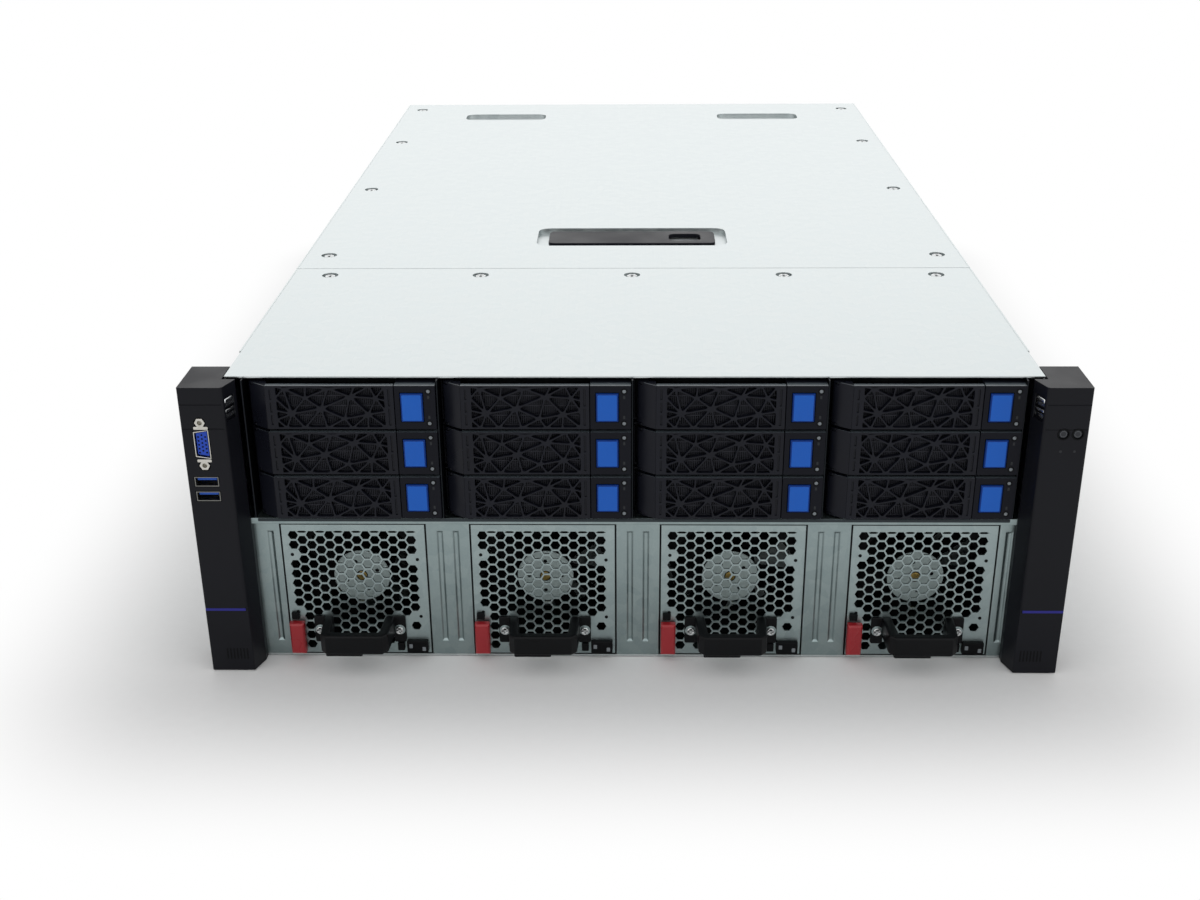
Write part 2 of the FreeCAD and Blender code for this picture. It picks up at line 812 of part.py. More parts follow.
def ear_plan():
    """Right ear seen from above: outline, and the two ends of its slanted inner face."""
    outer = rack_half
    inner = field_half + ear_gap
    side = body_half + running_gap
    front = V(outer - ear_face_width, 0, 0)
    back = V(inner, carrier_face_depth + 1.0, 0)
    outline = [(outer, 0), (outer, ear_depth), (side, ear_depth), (side, cage_front), (inner, cage_front),
               (back.x, back.y), (front.x, front.y)]
    return outline, front, back


def ear_solid():
    """The ear as moulded, with rounded front edges, before its details are cut."""
    outline, front, back = ear_plan()
    solid = plan_prism(outline, 0, body_height)
    rounds = ((front, ear_face_round), (V(rack_half, 0, 0), ear_outer_round), (back, ear_slant_round))
    for spot, radius in rounds:
        edges = [e for e in solid.Edges
                 if all(abs(v.X - spot.x) + abs(v.Y - spot.y) < 1e-6 for v in e.Vertexes)]
        solid = solid.makeFillet(radius, edges)
    return solid


def on_slant(near, far, z0, z1):
    """A block in the slanted face, from a depth near to a depth far, between the slot's ends."""
    outline, front, back = ear_plan()
    along = (back - front).normalize()
    deep = V(along.y, -along.x, 0)
    start = front + along * spring_slot_margin
    end = back - along * spring_slot_margin
    corners = [start + deep * near, end + deep * near, end + deep * far, start + deep * far]
    return plan_prism([(p.x, p.y) for p in corners], z0, z1)


def ear_block():
    """Right ear: moulding with a slanted inner face, seams, a spring slot and a stepped lower part."""
    outline, front, back = ear_plan()
    flank = box(back.x, body_half + running_gap, cage_front, fan_face_depth, 0, lip_bottom)
    low = box(back.x, rack_half, 0, ear_step, 0, stripe_z)
    groove = box(back.x, rack_half, 0, stripe_depth, stripe_z, stripe_z + stripe_height)
    slot_top = body_height - spring_slot_drop
    tools = [low, groove, on_slant(-1.0, spring_slot_depth, slot_top - spring_slot_height, slot_top)]
    for z in (body_height - 10.0, body_height - 24.0):
        tools.append(box(front.x, rack_half, 0, seam_depth, z, z + seam_height))
    return cut(fuse([ear_solid(), flank]), tools)


def ear_inlays():
    """Right ear's coloured stripe and the two spring strips in its slot."""
    outline, front, back = ear_plan()
    stripe = box(front.x + 1, rack_half, 0, stripe_depth, stripe_z, stripe_z + stripe_height)
    pieces = [stripe.common(ear_solid())]
    slot_top = body_height - spring_slot_drop
    for drop, height, sunk in spring_strips:
        pieces.append(on_slant(sunk, spring_slot_depth, slot_top - drop - height, slot_top - drop))
    return pieces


def mirrored(shape):
    return shape.mirror(V(0, 0, 0), V(1, 0, 0))


def video_outline(grow):
    """Upright D outline of the video socket, larger by grow all round."""
    half = video_height / 2 + grow
    wide = video_width / 2 + grow
    return [(-socket_x - wide, video_z - half + video_taper), (-socket_x + wide, video_z - half),
            (-socket_x + wide, video_z + half), (-socket_x - wide, video_z + half - video_taper)]


def standoff_places():
    return [video_z - standoff_spacing / 2, video_z + standoff_spacing / 2]


def usb_box(z, y0, y1, grow):
    half = usb_width / 2 + grow
    tall = usb_height / 2 + grow
    return box(-socket_x - half, -socket_x + half, y0, y1, z - tall, z + tall)


def build_ears():
    left = mirrored(ear_block())
    pockets = [front_prism(video_outline(running_gap), 0, socket_depth)]
    for z in standoff_places():
        pockets.append(rod_y(0, socket_depth / 2, -socket_x, z, standoff_flats / math.sqrt(3) + running_gap))
    for z in usb_z:
        pockets.append(usb_box(z, 0, socket_depth, running_gap))
    save("left_ear", [cut(left, pockets)] + [mirrored(p) for p in ear_inlays()])
    bores = []
    for x in (power_button_x, locator_button_x):
        bores.append(rod_y(0, 1.0, x, round_button_z, round_button_ring))
        bore_depth = round_button_length + round_button_travel + 1.5
        bores.append(rod_y(0, bore_depth, x, round_button_z, round_button_radius + running_gap))
    save("right_ear", [cut(ear_block(), bores)] + ear_inlays())
    for name, x in (("power_button", power_button_x), ("locator_button", locator_button_x)):
        cap = rod_y(0.4, round_button_length, x, round_button_z, round_button_radius)
        front = [e for e in cap.Edges if e.BoundBox.YMax < 0.5]
        save(name, [cap.makeChamfer(0.4, front)])


def build_front_ports():
    floor = socket_depth - shell_wall
    video = front_prism(video_outline(0), 0, socket_depth)
    video = video.cut(front_prism(video_outline(-shell_wall), 0, floor))
    insert = front_prism(video_outline(-shell_wall - 0.6), 1.0, floor)
    pieces = [video, insert]
    for z in standoff_places():
        post = front_prism(hexagon(-socket_x, z, standoff_flats), 0, socket_depth / 2)
        pieces.append(post.cut(rod_y(0, socket_depth / 3, -socket_x, z, 1.3)))
    for z in usb_z:
        shell = usb_box(z, 0, socket_depth, 0).cut(usb_box(z, 0, floor, -shell_wall))
        half = usb_width / 2 - 1.2
        tongue = box(-socket_x - half, -socket_x + half, 1.5, floor, z + 0.3, z + 0.3 + usb_tongue)
        pieces += [shell, tongue]
    save("front_ports", pieces)


# Boards, cooling and power

def build_boards():
    board = box(main_board_left, main_board_right, main_board_front, main_board_rear,
                main_board_bottom, main_board_top)
    pieces = [board]
    inset = board_post_inset
    for x in (main_board_left + inset, main_board_middle, main_board_right - inset):
        for y in (main_board_front + inset, main_board_front + main_board_length / 2,
                  main_board_rear - rear_post_inset):
            pieces.append(plan_prism(hexagon(x, y, board_post_flats), sheet, main_board_bottom))
    for x0, x1, z0, z1 in rear_sockets():
        pieces.append(box(x0, x1, main_board_rear - rear_socket_depth, tub_rear + rear_socket_proud, z0, z1))
    backplane_rear = backplane_front + 2 * board_thickness
    backplane = box(-field_half, field_half, backplane_front, backplane_rear, shelf_top, wall_top)
    vents = []
    disk_rear = carrier_face_depth + front_plate_end + disk_length
    for row in range(rows):
        z = shelf_top + row * row_pitch + ledge_sheet + running_gap
        for column in range(columns):
            x = -field_half + (column + 0.5) * column_pitch
            slot_x = x + vent_offset
            slot_z = z + air_slot_rise
            vents.append(box(slot_x, slot_x + air_slot_width, backplane_front, backplane_rear,
                             slot_z, slot_z + air_slot_height))
            pieces.append(box(x - plug_offset, x - plug_offset + plug_width, disk_rear + running_gap,
                              backplane_front, z + plug_rise, z + plug_rise + plug_height))
    pieces.append(cut(backplane, vents))
    low = fan_base + fan_middle_z + fan_board_rise
    pieces.append(box(-field_half, field_half, fan_board_front, fan_board_front + board_thickness,
                      low, lip_bottom))
    save("circuit_boards", pieces)


def heatsink(x, y):
    """Base plate with a comb of upright fins along the air flow."""
    z = main_board_top + processor_height
    half = sink_width / 2
    base = box(x - half, x + half, y, y + sink_length, z, z + sink_base)
    gap = (sink_width - sink_fins * fin_thickness) / (sink_fins - 1)
    fins = []
    for i in range(sink_fins):
        left = x - half + i * (fin_thickness + gap)
        fins.append(box(left, left + fin_thickness, y, y + sink_length, z + sink_base, z + sink_height))
    return fuse([base] + fins)


def build_cooling():
    y = main_board_front + sink_start
    pieces = []
    for side in (-1, 1):
        x = main_board_middle + side * processor_offset
        pieces.append(heatsink(x, y))
        half = processor_size / 2
        centre = y + sink_length / 2
        pieces.append(box(x - half, x + half, centre - half, centre + half, main_board_top,
                          main_board_top + processor_height))
    front = y + sink_length + memory_space
    for side in (-1, 1):
        start = main_board_middle + side * processor_offset - (memory_per_bank - 1) * memory_pitch / 2
        for i in range(memory_per_bank):
            x = start + i * memory_pitch - memory_thickness / 2
            pieces.append(box(x, x + memory_thickness, front, front + memory_length,
                              main_board_top, main_board_top + memory_height))
    save("heatsinks_and_memory", pieces)


def power_supply():
    """Case with a perforated rear, a loop handle and a mains inlet; X from its left, Y from its rear face."""
    case = box(0, supply_width, -supply_length, 0, 0, supply_height)
    inlet_x = supply_width - supply_inlet_width - supply_inlet_inset
    inlet_z = (supply_height - supply_inlet_height) / 2
    pocket = box(inlet_x, inlet_x + supply_inlet_width, -inlet_depth, 0,
                 inlet_z, inlet_z + supply_inlet_height)
    vents = []
    for i in range(supply_vents):
        x = supply_grip_bar + 6 + i * supply_vent_pitch
        vents.append(box(x, x + supply_vent_width, -2, 0, 4, supply_height - 4))
    case = cut(case, [pocket] + vents)
    middle_x = inlet_x + supply_inlet_width / 2
    pins = []
    for x, z in ((-inlet_pin_pitch, 0.0), (0.0, inlet_pin_rise), (inlet_pin_pitch, 0.0)):
        left = middle_x + x - inlet_pin / 2
        low = supply_height / 2 + z - inlet_pin
        pins.append(box(left, left + inlet_pin, -inlet_depth, -inlet_pin_sunk, low, low + 2 * inlet_pin))
    left = supply_grip_x
    right = left + supply_grip_width
    low = (supply_height - supply_grip_height) / 2
    loop = box(left, right, 0, supply_grip, low, low + supply_grip_height)
    loop = loop.cut(box(left + supply_grip_bar, right - supply_grip_bar, 0, supply_grip - supply_grip_bar,
                        low, low + supply_grip_height))
    return [case, loop] + pins


def build_supplies():
    for i, x in enumerate(supply_left):
        save("power_supply_%d" % (i + 1), power_supply(), x, tub_rear, fan_base)


os.makedirs("parts", exist_ok=True)
build_carriers()
build_fans()
build_cage()
build_tub()
build_cover()
build_ears()
build_front_ports()
build_boards()
build_cooling()
build_supplies()
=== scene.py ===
# %% [markdown]
# # A rack server, finished from its CAD frame
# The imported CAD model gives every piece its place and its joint. This lesson adds what the eye
# looks for: finishes, perforated metal, screws, sockets and softened edges. Each step first says
# what the piece is on the real server, then how it is made here.

# %% Load the CAD frame
import math
import bmesh
import bpy
from mathutils import Matrix, Vector, geometry


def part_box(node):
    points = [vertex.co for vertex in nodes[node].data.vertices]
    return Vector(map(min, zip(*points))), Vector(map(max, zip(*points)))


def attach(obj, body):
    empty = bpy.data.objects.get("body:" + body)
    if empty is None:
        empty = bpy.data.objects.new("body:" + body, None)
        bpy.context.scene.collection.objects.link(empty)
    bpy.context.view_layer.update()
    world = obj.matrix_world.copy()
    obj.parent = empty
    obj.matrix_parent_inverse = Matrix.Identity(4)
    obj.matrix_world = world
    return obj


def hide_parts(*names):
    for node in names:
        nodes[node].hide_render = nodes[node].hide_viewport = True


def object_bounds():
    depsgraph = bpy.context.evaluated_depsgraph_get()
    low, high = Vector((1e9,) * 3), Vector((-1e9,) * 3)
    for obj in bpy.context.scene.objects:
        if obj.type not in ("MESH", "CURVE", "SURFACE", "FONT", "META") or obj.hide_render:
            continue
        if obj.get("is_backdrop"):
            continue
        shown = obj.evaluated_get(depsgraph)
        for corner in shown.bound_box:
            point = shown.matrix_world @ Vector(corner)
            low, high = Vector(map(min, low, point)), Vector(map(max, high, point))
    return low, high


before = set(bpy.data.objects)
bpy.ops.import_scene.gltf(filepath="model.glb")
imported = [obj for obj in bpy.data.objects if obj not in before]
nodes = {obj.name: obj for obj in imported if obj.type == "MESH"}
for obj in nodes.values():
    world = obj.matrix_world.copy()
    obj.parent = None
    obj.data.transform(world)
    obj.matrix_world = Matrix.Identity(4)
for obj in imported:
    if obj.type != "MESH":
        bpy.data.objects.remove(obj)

cad_low, cad_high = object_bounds()
MM = 0.001
scene = bpy.context.scene
print("CAD box", [round(v, 4) for v in cad_low], [round(v, 4) for v in cad_high])

# %% [markdown]
# ## Camera
# The photograph looks down on the front from about 24 degrees, almost square on. The place, the
# angles and the focal length were solved from the four outer corners of the rack ears, whose
# spacing is fixed by the 19-inch rack standard. A Track To constraint can't hold the small roll, so
# the camera's matrix is put together from its three axes.

# %% Camera
EAR_FRONT = -393.0
CAMERA_PLACE = (-1.7, EAR_FRONT - 721.3, 462.4)
CAMERA_TURN, CAMERA_TILT, CAMERA_ROLL = (math.radians(a) for a in (-1.24, 24.12, -0.453))
FOCAL_PIXELS, PHOTO_WIDTH, SENSOR, FARTHEST = 1478.0, 1200.0, 36.0, 50.0

look = Vector((math.sin(CAMERA_TURN) * math.cos(CAMERA_TILT),
               math.cos(CAMERA_TURN) * math.cos(CAMERA_TILT), -math.sin(CAMERA_TILT)))
level = Vector((math.cos(CAMERA_TURN), -math.sin(CAMERA_TURN), 0.0))
upright = level.cross(look)
right = level * math.cos(CAMERA_ROLL) + upright * math.sin(CAMERA_ROLL)
above = upright * math.cos(CAMERA_ROLL) - level * math.sin(CAMERA_ROLL)
camera = bpy.data.objects.new("photo_camera", bpy.data.cameras.new("photo_camera"))
scene.collection.objects.link(camera)
camera.data.sensor_fit = "HORIZONTAL"
camera.data.sensor_width = SENSOR
camera.data.lens = FOCAL_PIXELS / PHOTO_WIDTH * SENSOR
turned = Matrix((right, above, -look)).transposed().to_4x4()
camera.matrix_world = Matrix.Translation(Vector(CAMERA_PLACE) * MM) @ turned
camera.data.clip_end = FARTHEST
scene.camera = camera
print("lens", round(camera.data.lens, 2), "mm")

# %% [markdown]
# ## Colours and nodes
# Colours are written as sRGB hex, the way a colour picker shows them, and turned to linear light
# once. Node trees could be drawn by hand in the editor, but a script can be read and run again. One
# small function adds a node with its settings and its links, so each finish reads from top to bottom.

# %% Helpers for finishes
def colour(code):
    """sRGB hex to linear RGBA."""
    parts = [int(code[i:i + 2], 16) / 255 for i in (1, 3, 5)]
    return tuple(p / 12.92 if p <= 0.04045 else ((p + 0.055) / 1.055) ** 2.4 for p in parts) + (1.0,)


def add(tree, kind, inputs=None, **settings):
    """One node; inputs are values or the outputs that feed them, by socket name or number."""
    made = tree.nodes.new(kind)
    for key, value in settings.items():
        setattr(made, key, value)
    for key, value in (inputs or {}).items():
        if isinstance(value, bpy.types.NodeSocket):
            tree.links.new(value, made.inputs[key])
        else:
            made.inputs[key].default_value = value
    return made


def finish(name, **values):
    """A new material: its tree, its shader and the object coordinates in metres."""
    made = bpy.data.materials.new(name)
    made.use_nodes = True
    tree = made.node_tree
    tree.nodes.clear()
    shader = add(tree, "ShaderNodeBsdfPrincipled", {k.replace("_", " "): v for k, v in values.items()})
    add(tree, "ShaderNodeOutputMaterial", {"Surface": shader.outputs[0]})
    place = add(tree, "ShaderNodeTexCoord").outputs["Object"]
    return made, tree, shader, place


def per_mm(size):
    """Texture scale for a pattern that repeats every size millimetres."""
    return 1.0 / (size * MM)


print("mid grey in linear light:", round(colour("#808080")[0], 3))

# %% [markdown]
# ## Moulded plastics
# Ears, carriers and fan handles are ABS blends moulded in spark-eroded tools: a fine sandy grain
# that breaks up the gloss. Grain this fine (0.1 mm) would vanish in the picture, so it is drawn at
# about half a millimetre. Slow clouds in roughness stand for handling and flow marks. A picture
# could carry the grain, but noise on Object coordinates needs no unwrapping and keeps its scale.

# %% Plastics
CLOUD_MM, CLOUD_SPREAD, GRAIN_HIGH = 38.0, 0.08, 0.05 * MM


def moulded(name, base, shade, rough, grain_mm=0.5, depth=0.25, shine=0.3):
    """Moulded plastic: sandy bump, slow roughness clouds and a faint drift of colour."""
    made, tree, shader, place = finish(name, Specular_IOR_Level=shine)
    slow = add(tree, "ShaderNodeTexNoise", {"Vector": place, "Scale": per_mm(CLOUD_MM), "Detail": 3.0})
    tint = add(tree, "ShaderNodeMix", {0: slow.outputs["Fac"], 6: colour(base), 7: colour(shade)},
               data_type="RGBA")
    tree.links.new(tint.outputs[2], shader.inputs["Base Color"])
    gloss = add(tree, "ShaderNodeMapRange", {"Value": slow.outputs["Fac"], "From Min": 0.3, "From Max": 0.7,
                                             "To Min": rough - CLOUD_SPREAD, "To Max": rough + CLOUD_SPREAD})
    tree.links.new(gloss.outputs[0], shader.inputs["Roughness"])
    grain = add(tree, "ShaderNodeTexNoise", {"Vector": place, "Scale": per_mm(grain_mm), "Detail": 2.0})
    bump = add(tree, "ShaderNodeBump", {"Height": grain.outputs["Fac"], "Strength": depth,
                                        "Distance": GRAIN_HIGH})
    tree.links.new(bump.outputs[0], shader.inputs["Normal"])
    return made


# Black mouldings: the spark grain keeps their highlights broad and dim.
abs_black = moulded("abs_black_spark_textured", "#0d0e15", "#14161e", 0.42, shine=0.11)
abs_ear = moulded("abs_black_ear_spark_textured", "#0d0e13", "#14151b", 0.4, shine=0.15)
abs_lever = moulded("pc_abs_charcoal_lever_moulded", "#101118", "#171922", 0.34, shine=0.16)
# The land on top of a carrier is smooth and glosses at a low angle. It is painted a lighter grey:
# a painted highlight that draws the pale line along the top edge.
land_highlight_paint = moulded("pc_abs_charcoal_lever_smooth_land", "#495157", "#535b61", 0.22, depth=0.08, shine=0.9)
# Fan plastic is duller, so that what lies behind the holes reads as depth. Coated wire is a shade lighter.
abs_dark = moulded("pbt_black_fan_moulded", "#0a0b0c", "#101113", 0.5, shine=0.08)
gauze_wire = moulded("steel_gauze_black_coated", "#2b2c33", "#35363d", 0.5, shine=0.15)
abs_handle = moulded("pa_black_handle_moulded", "#0a0b0d", "#101113", 0.34, shine=0.12)
# Through-coloured mouldings: satin, with the colour down to the edge. The pad's rim is painted a
# darker blue: painted shade of the step round the raised pad.
blue_button = moulded("pc_abs_blue_button_moulded", "#195abc", "#2166c8", 0.36, depth=0.15, shine=0.2)
blue_rim_painted_shade = moulded("pc_abs_blue_button_edge_moulded", "#0c3078", "#113a88", 0.38, depth=0.15, shine=0.15)
red_latch = moulded("pa_red_latch_moulded", "#8e1a22", "#a8242c", 0.3, depth=0.12, shine=0.45)
indigo = moulded("abs_indigo_inlay_moulded", "#26267a", "#303088", 0.4, depth=0.1, shine=0.2)
video_blue = moulded("pbt_blue_video_insert_moulded", "#1c44b4", "#244ec2", 0.4, depth=0.1)
usb_blue = moulded("pbt_blue_usb_tongue_moulded", "#1f4fae", "#285abc", 0.38, depth=0.1)
# Greys and light pipes: milky or smoked acrylic looks soft, because light spreads inside it.
grey_cap = moulded("abs_dark_grey_cap_moulded", "#2b2d31", "#35373b", 0.42, depth=0.12, shine=0.2)
lens = moulded("pmma_milky_light_pipe_moulded", "#757b80", "#82888c", 0.3, depth=0.05)
dim_lens = moulded("pmma_smoked_lamp_moulded", "#25272a", "#2d3033", 0.32, depth=0.05, shine=0.2)
grey_part = moulded("abs_grey_moulded", "#55585c", "#606367", 0.45)
# A dark grey strip under the carriers is painted shadow; a painted disc is pale and even.
shadow_strip_paint = moulded("pu_foam_seal_dark_grey", "#343a3d", "#40464a", 0.7, grain_mm=0.7, shine=0.1)
hub_paint = moulded("steel_hub_disc_painted_pale_grey", "#a6b5b4", "#b1bfbe", 0.45, grain_mm=0.8, depth=0.1)
print("plastics and paints:", len(bpy.data.materials))

# %% [markdown]
# ## Metals
# The sheet metal is hot-dip galvanised steel: zinc freezes in flat crystals, the spangle, a few
# millimetres wide, each with its own slight gloss. Rolling leaves fine lengthwise lines. Voronoi
# cells make the crystals and a stretched noise the lines, because both have a true size. Metals keep
# the default IOR, and their colour is the colour of their reflection.

# %% Metals
ROLLED_MM, ROLLED_LINES, SPANGLE_SHARE, METAL_SPREAD, METAL_BUMP = 1.2, (1.0, 0.02, 1.0), 0.5, 0.07, 0.08


def sheet_metal(name, base, shade, rough, spangle_mm=6.0):
    """Metal with crystal patches, rolling lines and soft smudges in its roughness."""
    made, tree, shader, place = finish(name, Metallic=1.0)
    cells = add(tree, "ShaderNodeTexVoronoi", {"Vector": place, "Scale": per_mm(spangle_mm)})
    streaks = add(tree, "ShaderNodeMapping", {"Vector": place, "Scale": ROLLED_LINES})
    rolled = add(tree, "ShaderNodeTexNoise", {"Vector": streaks.outputs[0], "Scale": per_mm(ROLLED_MM),
                                              "Detail": 2.0})
    patch = add(tree, "ShaderNodeSeparateColor", {"Color": cells.outputs["Color"]})
    amount = add(tree, "ShaderNodeMath", {0: patch.outputs[0], 1: SPANGLE_SHARE}, operation="MULTIPLY")
    mixed = add(tree, "ShaderNodeMath", {0: rolled.outputs["Fac"], 1: 1.0 - SPANGLE_SHARE,
                                         2: amount.outputs[0]}, operation="MULTIPLY_ADD")
    tint = add(tree, "ShaderNodeMix", {0: mixed.outputs[0], 6: colour(base), 7: colour(shade)},
               data_type="RGBA")
    tree.links.new(tint.outputs[2], shader.inputs["Base Color"])
    gloss = add(tree, "ShaderNodeMapRange", {"Value": mixed.outputs[0], "To Min": rough - METAL_SPREAD,
                                             "To Max": rough + METAL_SPREAD})
    tree.links.new(gloss.outputs[0], shader.inputs["Roughness"])
    bump = add(tree, "ShaderNodeBump", {"Height": mixed.outputs[0], "Strength": METAL_BUMP,
                                        "Distance": GRAIN_HIGH})
    tree.links.new(bump.outputs[0], shader.inputs["Normal"])
    return made


# Galvanised sheet: soft grey patches, darker on the cage and the fan plates than on the cover.
galvanised = sheet_metal("steel_galvanised_spangled", "#b4bbbc", "#c8cdcd", 0.38)
cage_metal = sheet_metal("steel_galvanised_cage_sheet", "#818f90", "#929f9f", 0.36)
# The uprights are drawn much darker than the rest of the cage.
dark_upright_steel = sheet_metal("steel_black_oxide", "#1d2023", "#26292c", 0.46)
fan_metal = sheet_metal("steel_galvanised_fan_plate", "#899798", "#9daaaa", 0.4)
# Springs, plated shells and turned screws: narrow, clear highlights; brass and gold are warm.
spring_steel = sheet_metal("steel_spring_polished", "#cfd2d3", "#e2e4e4", 0.2, spangle_mm=4.0)
nickel = sheet_metal("steel_nickel_plated", "#b5b3ac", "#c9c7c0", 0.24, spangle_mm=3.0)
tin_shell = sheet_metal("steel_tin_plated_shell", "#6d6d6a", "#7f7f7b", 0.34, spangle_mm=3.0)
zinc_screw = sheet_metal("steel_zinc_screw_turned", "#b9bcbd", "#d0d2d2", 0.26, spangle_mm=2.0)
brass = sheet_metal("brass_turned", "#937e48", "#a78f55", 0.3, spangle_mm=2.0)
# A disk's brushed lid over its black coated casting, gold contacts and extruded fins.
disk_metal = sheet_metal("steel_disk_lid_brushed", "#9a9fa1", "#afb3b4", 0.42, spangle_mm=9.0)
disk_coat = sheet_metal("aluminium_disk_casting_black_coated", "#17191b", "#212426", 0.55, spangle_mm=9.0)
gold = sheet_metal("copper_gold_plated", "#c59b4a", "#d8b566", 0.26, spangle_mm=2.0)
fins = sheet_metal("aluminium_fins_extruded", "#a9adae", "#bcc0c0", 0.36, spangle_mm=12.0)
print("with metals:", len(bpy.data.materials))

# %% [markdown]
# ## Boards
# Circuit boards are glass-fibre laminate under green solder mask, with a grid of parts and tracks.
# Tracks could be thin meshes. The boards are only glimpsed through openings, so a brick pattern, with
# its mortar as the tracks, is enough.

# %% Board laminate
GRID_MM, SMEAR_MM = 12.0, 25.0


def laminate(name, mask, track):
    """Circuit board: a grid of tracks under the solder mask, with cloudy gloss."""
    made, tree, shader, place = finish(name)
    grid = add(tree, "ShaderNodeTexBrick", {
        "Vector": place, "Color1": colour(mask), "Color2": colour(mask), "Mortar": colour(track),
        "Scale": per_mm(GRID_MM), "Mortar Size": 0.03})
    tree.links.new(grid.outputs["Color"], shader.inputs["Base Color"])
    cloud = add(tree, "ShaderNodeTexNoise", {"Vector": place, "Scale": per_mm(SMEAR_MM)})
    gloss = add(tree, "ShaderNodeMapRange", {"Value": cloud.outputs["Fac"], "To Min": 0.3, "To Max": 0.5})
    tree.links.new(gloss.outputs[0], shader.inputs["Roughness"])
    return made


board_green = laminate("fr4_green_solder_mask", "#14512f", "#2a7a4a")
print("with boards:", len(bpy.data.materials))

# %% [markdown]
# ## Outlines
# Most pieces of a server are sheets: an outline with holes and a thickness. Outlines are lists of
# points in millimetres, in the CAD frame. Their corners are rounded first, with a few points on a
# parabola, because a press tool or a mould leaves no sharp corner either.

# %% Outlines
def rounded(points, radius, steps=3):
    """A closed outline with its corners rounded."""
    out = []
    for i, corner in enumerate(points):
        here = Vector(corner)
        before = Vector(points[i - 1]) - here
        after = Vector(points[(i + 1) % len(points)]) - here
        half = before.angle(after) / 2
        reach = min(radius / math.tan(half), 0.45 * before.length, 0.45 * after.length)
        start, end = here + before.normalized() * reach, here + after.normalized() * reach
        for k in range(steps + 1):
            t = k / steps
            out.append(tuple(start * (1 - t) ** 2 + here * 2 * t * (1 - t) + end * t * t))
    return out


def rectangle(x0, x1, z0, z1):
    """The corners of a box, anticlockwise."""
    return [(x0, z0), (x1, z0), (x1, z1), (x0, z1)]


def ring(x, z, radius, sides):
    """The corners of a regular polygon round a point."""
    angles = [2 * math.pi * i / sides for i in range(sides)]
    return [(x + radius * math.cos(a), z + radius * math.sin(a)) for a in angles]


print("a rounded rectangle has", len(rounded(rectangle(0, 4, 0, 2), 0.5)), "points")

# %% [markdown]
# ## Sheets
# A flat Blender curve with Fill set to Both turns outlines into a sheet with holes, and its bevel
# rounds the rims as a press or a mould does. The sheet becomes a mesh, which is then turned to face
# a side of the server and put in its place. Solidify on a flat mesh would give the thickness too, but
# a curve cuts its own holes, however many there are.

# %% Sheets
TINY = 2e-6
FACING_UP = Matrix.Identity(4)
FACING_FRONT = Matrix.Rotation(math.radians(90), 4, "X")
FACING_REAR = Matrix.Rotation(math.radians(180), 4, "Z") @ FACING_FRONT
FACING_RIGHT = Matrix.Rotation(math.radians(90), 4, "Z") @ FACING_FRONT
FACING_LEFT = Matrix.Rotation(math.radians(-90), 4, "Z") @ FACING_FRONT


def edited(change):
    """Make a change to a bmesh work on a mesh, which is changed and returned."""
    def run(mesh, *values):
        work = bmesh.new()
        work.from_mesh(mesh)
        change(work, *values)
        work.to_mesh(mesh)
        work.free()
        return mesh
    return run


@edited
def clean(work):
    """Doubles merged and faces turned outwards."""
    bmesh.ops.remove_doubles(work, verts=work.verts, dist=TINY)
    bmesh.ops.dissolve_degenerate(work, edges=work.edges, dist=TINY / 2)
    bmesh.ops.recalc_face_normals(work, faces=work.faces)


def plain_mesh(holder):
    """The evaluated object as a plain mesh; the object itself goes."""
    scene.collection.objects.link(holder)
    seen_by = bpy.context.evaluated_depsgraph_get()
    made = bpy.data.meshes.new_from_object(holder.evaluated_get(seen_by))
    bpy.data.objects.remove(holder)
    return made


def moved(mesh, facing=FACING_UP, place=(0, 0, 0)):
    """Turn a sheet to face a side and put it in place (millimetres)."""
    mesh.transform(Matrix.Translation(Vector(place) * MM) @ facing)
    return mesh


def cut_sheet(loops, depth, rim=0.0, steps=2):
    """A sheet from 0 down to -depth in Z: the first loop is its edge, the others are holes."""
    flat = bpy.data.curves.new("outline", "CURVE")
    flat.dimensions = "2D"
    flat.fill_mode = "BOTH"
    flat.extrude = (depth / 2 - rim) * MM
    flat.bevel_depth = rim * MM
    flat.offset = -rim * MM
    flat.bevel_resolution = steps
    for loop in loops:
        spline = flat.splines.new("POLY")
        spline.points.add(len(loop) - 1)
        for point, (x, y) in zip(spline.points, loop):
            point.co = (x * MM, y * MM, 0.0, 1.0)
        spline.use_cyclic_u = True
    made = plain_mesh(bpy.data.objects.new("outline", flat))
    made.transform(Matrix.Translation((0, 0, -depth / 2 * MM)))
    return clean(made)


print("a plain sheet has", len(cut_sheet([rectangle(0, 4, 0, 2)], 1.0).polygons), "faces")

# %% [markdown]
# ## Tiles and discs
# Two sheets come again and again: a box with rounded corners, for plates and bars, and a disc, for
# rivets, pipes and collars. Blender's own cylinder has sharp rims, so both are cut as sheets too.

# %% Tiles and discs
def tile(box, radius, depth, rim=0.0, steps=2, corner=3):
    """A sheet with the outline of a box (x0, x1, y0, y1) and rounded corners."""
    return cut_sheet([rounded(rectangle(*box), radius, corner)], depth, rim, steps)


def disc(radius, sides, depth, rim=0.0, steps=2, top=0.0, bore=None):
    """A round sheet on the Z axis from top down, with a hole where a bore is given."""
    loops = [ring(0, 0, size, sides) for size in (radius, bore) if size]
    return moved(cut_sheet(loops, depth, rim, steps), place=(0, 0, top))


print("a disc with a rounded rim has", len(disc(2.0, 16, 1.0, 0.3).polygons), "faces")

# %% [markdown]
# ## Several finishes in one piece
# A real part is often several materials that move together, such as a plastic handle with steel
# screws. Blender's own join works on objects; joining the meshes keeps the scene free of leftovers.

# %% Finishes on meshes
def dressed(mesh, made):
    """One finish on a whole mesh."""
    mesh.materials.clear()
    mesh.materials.append(made)
    mesh.polygons.foreach_set("material_index", [0] * len(mesh.polygons))
    return mesh


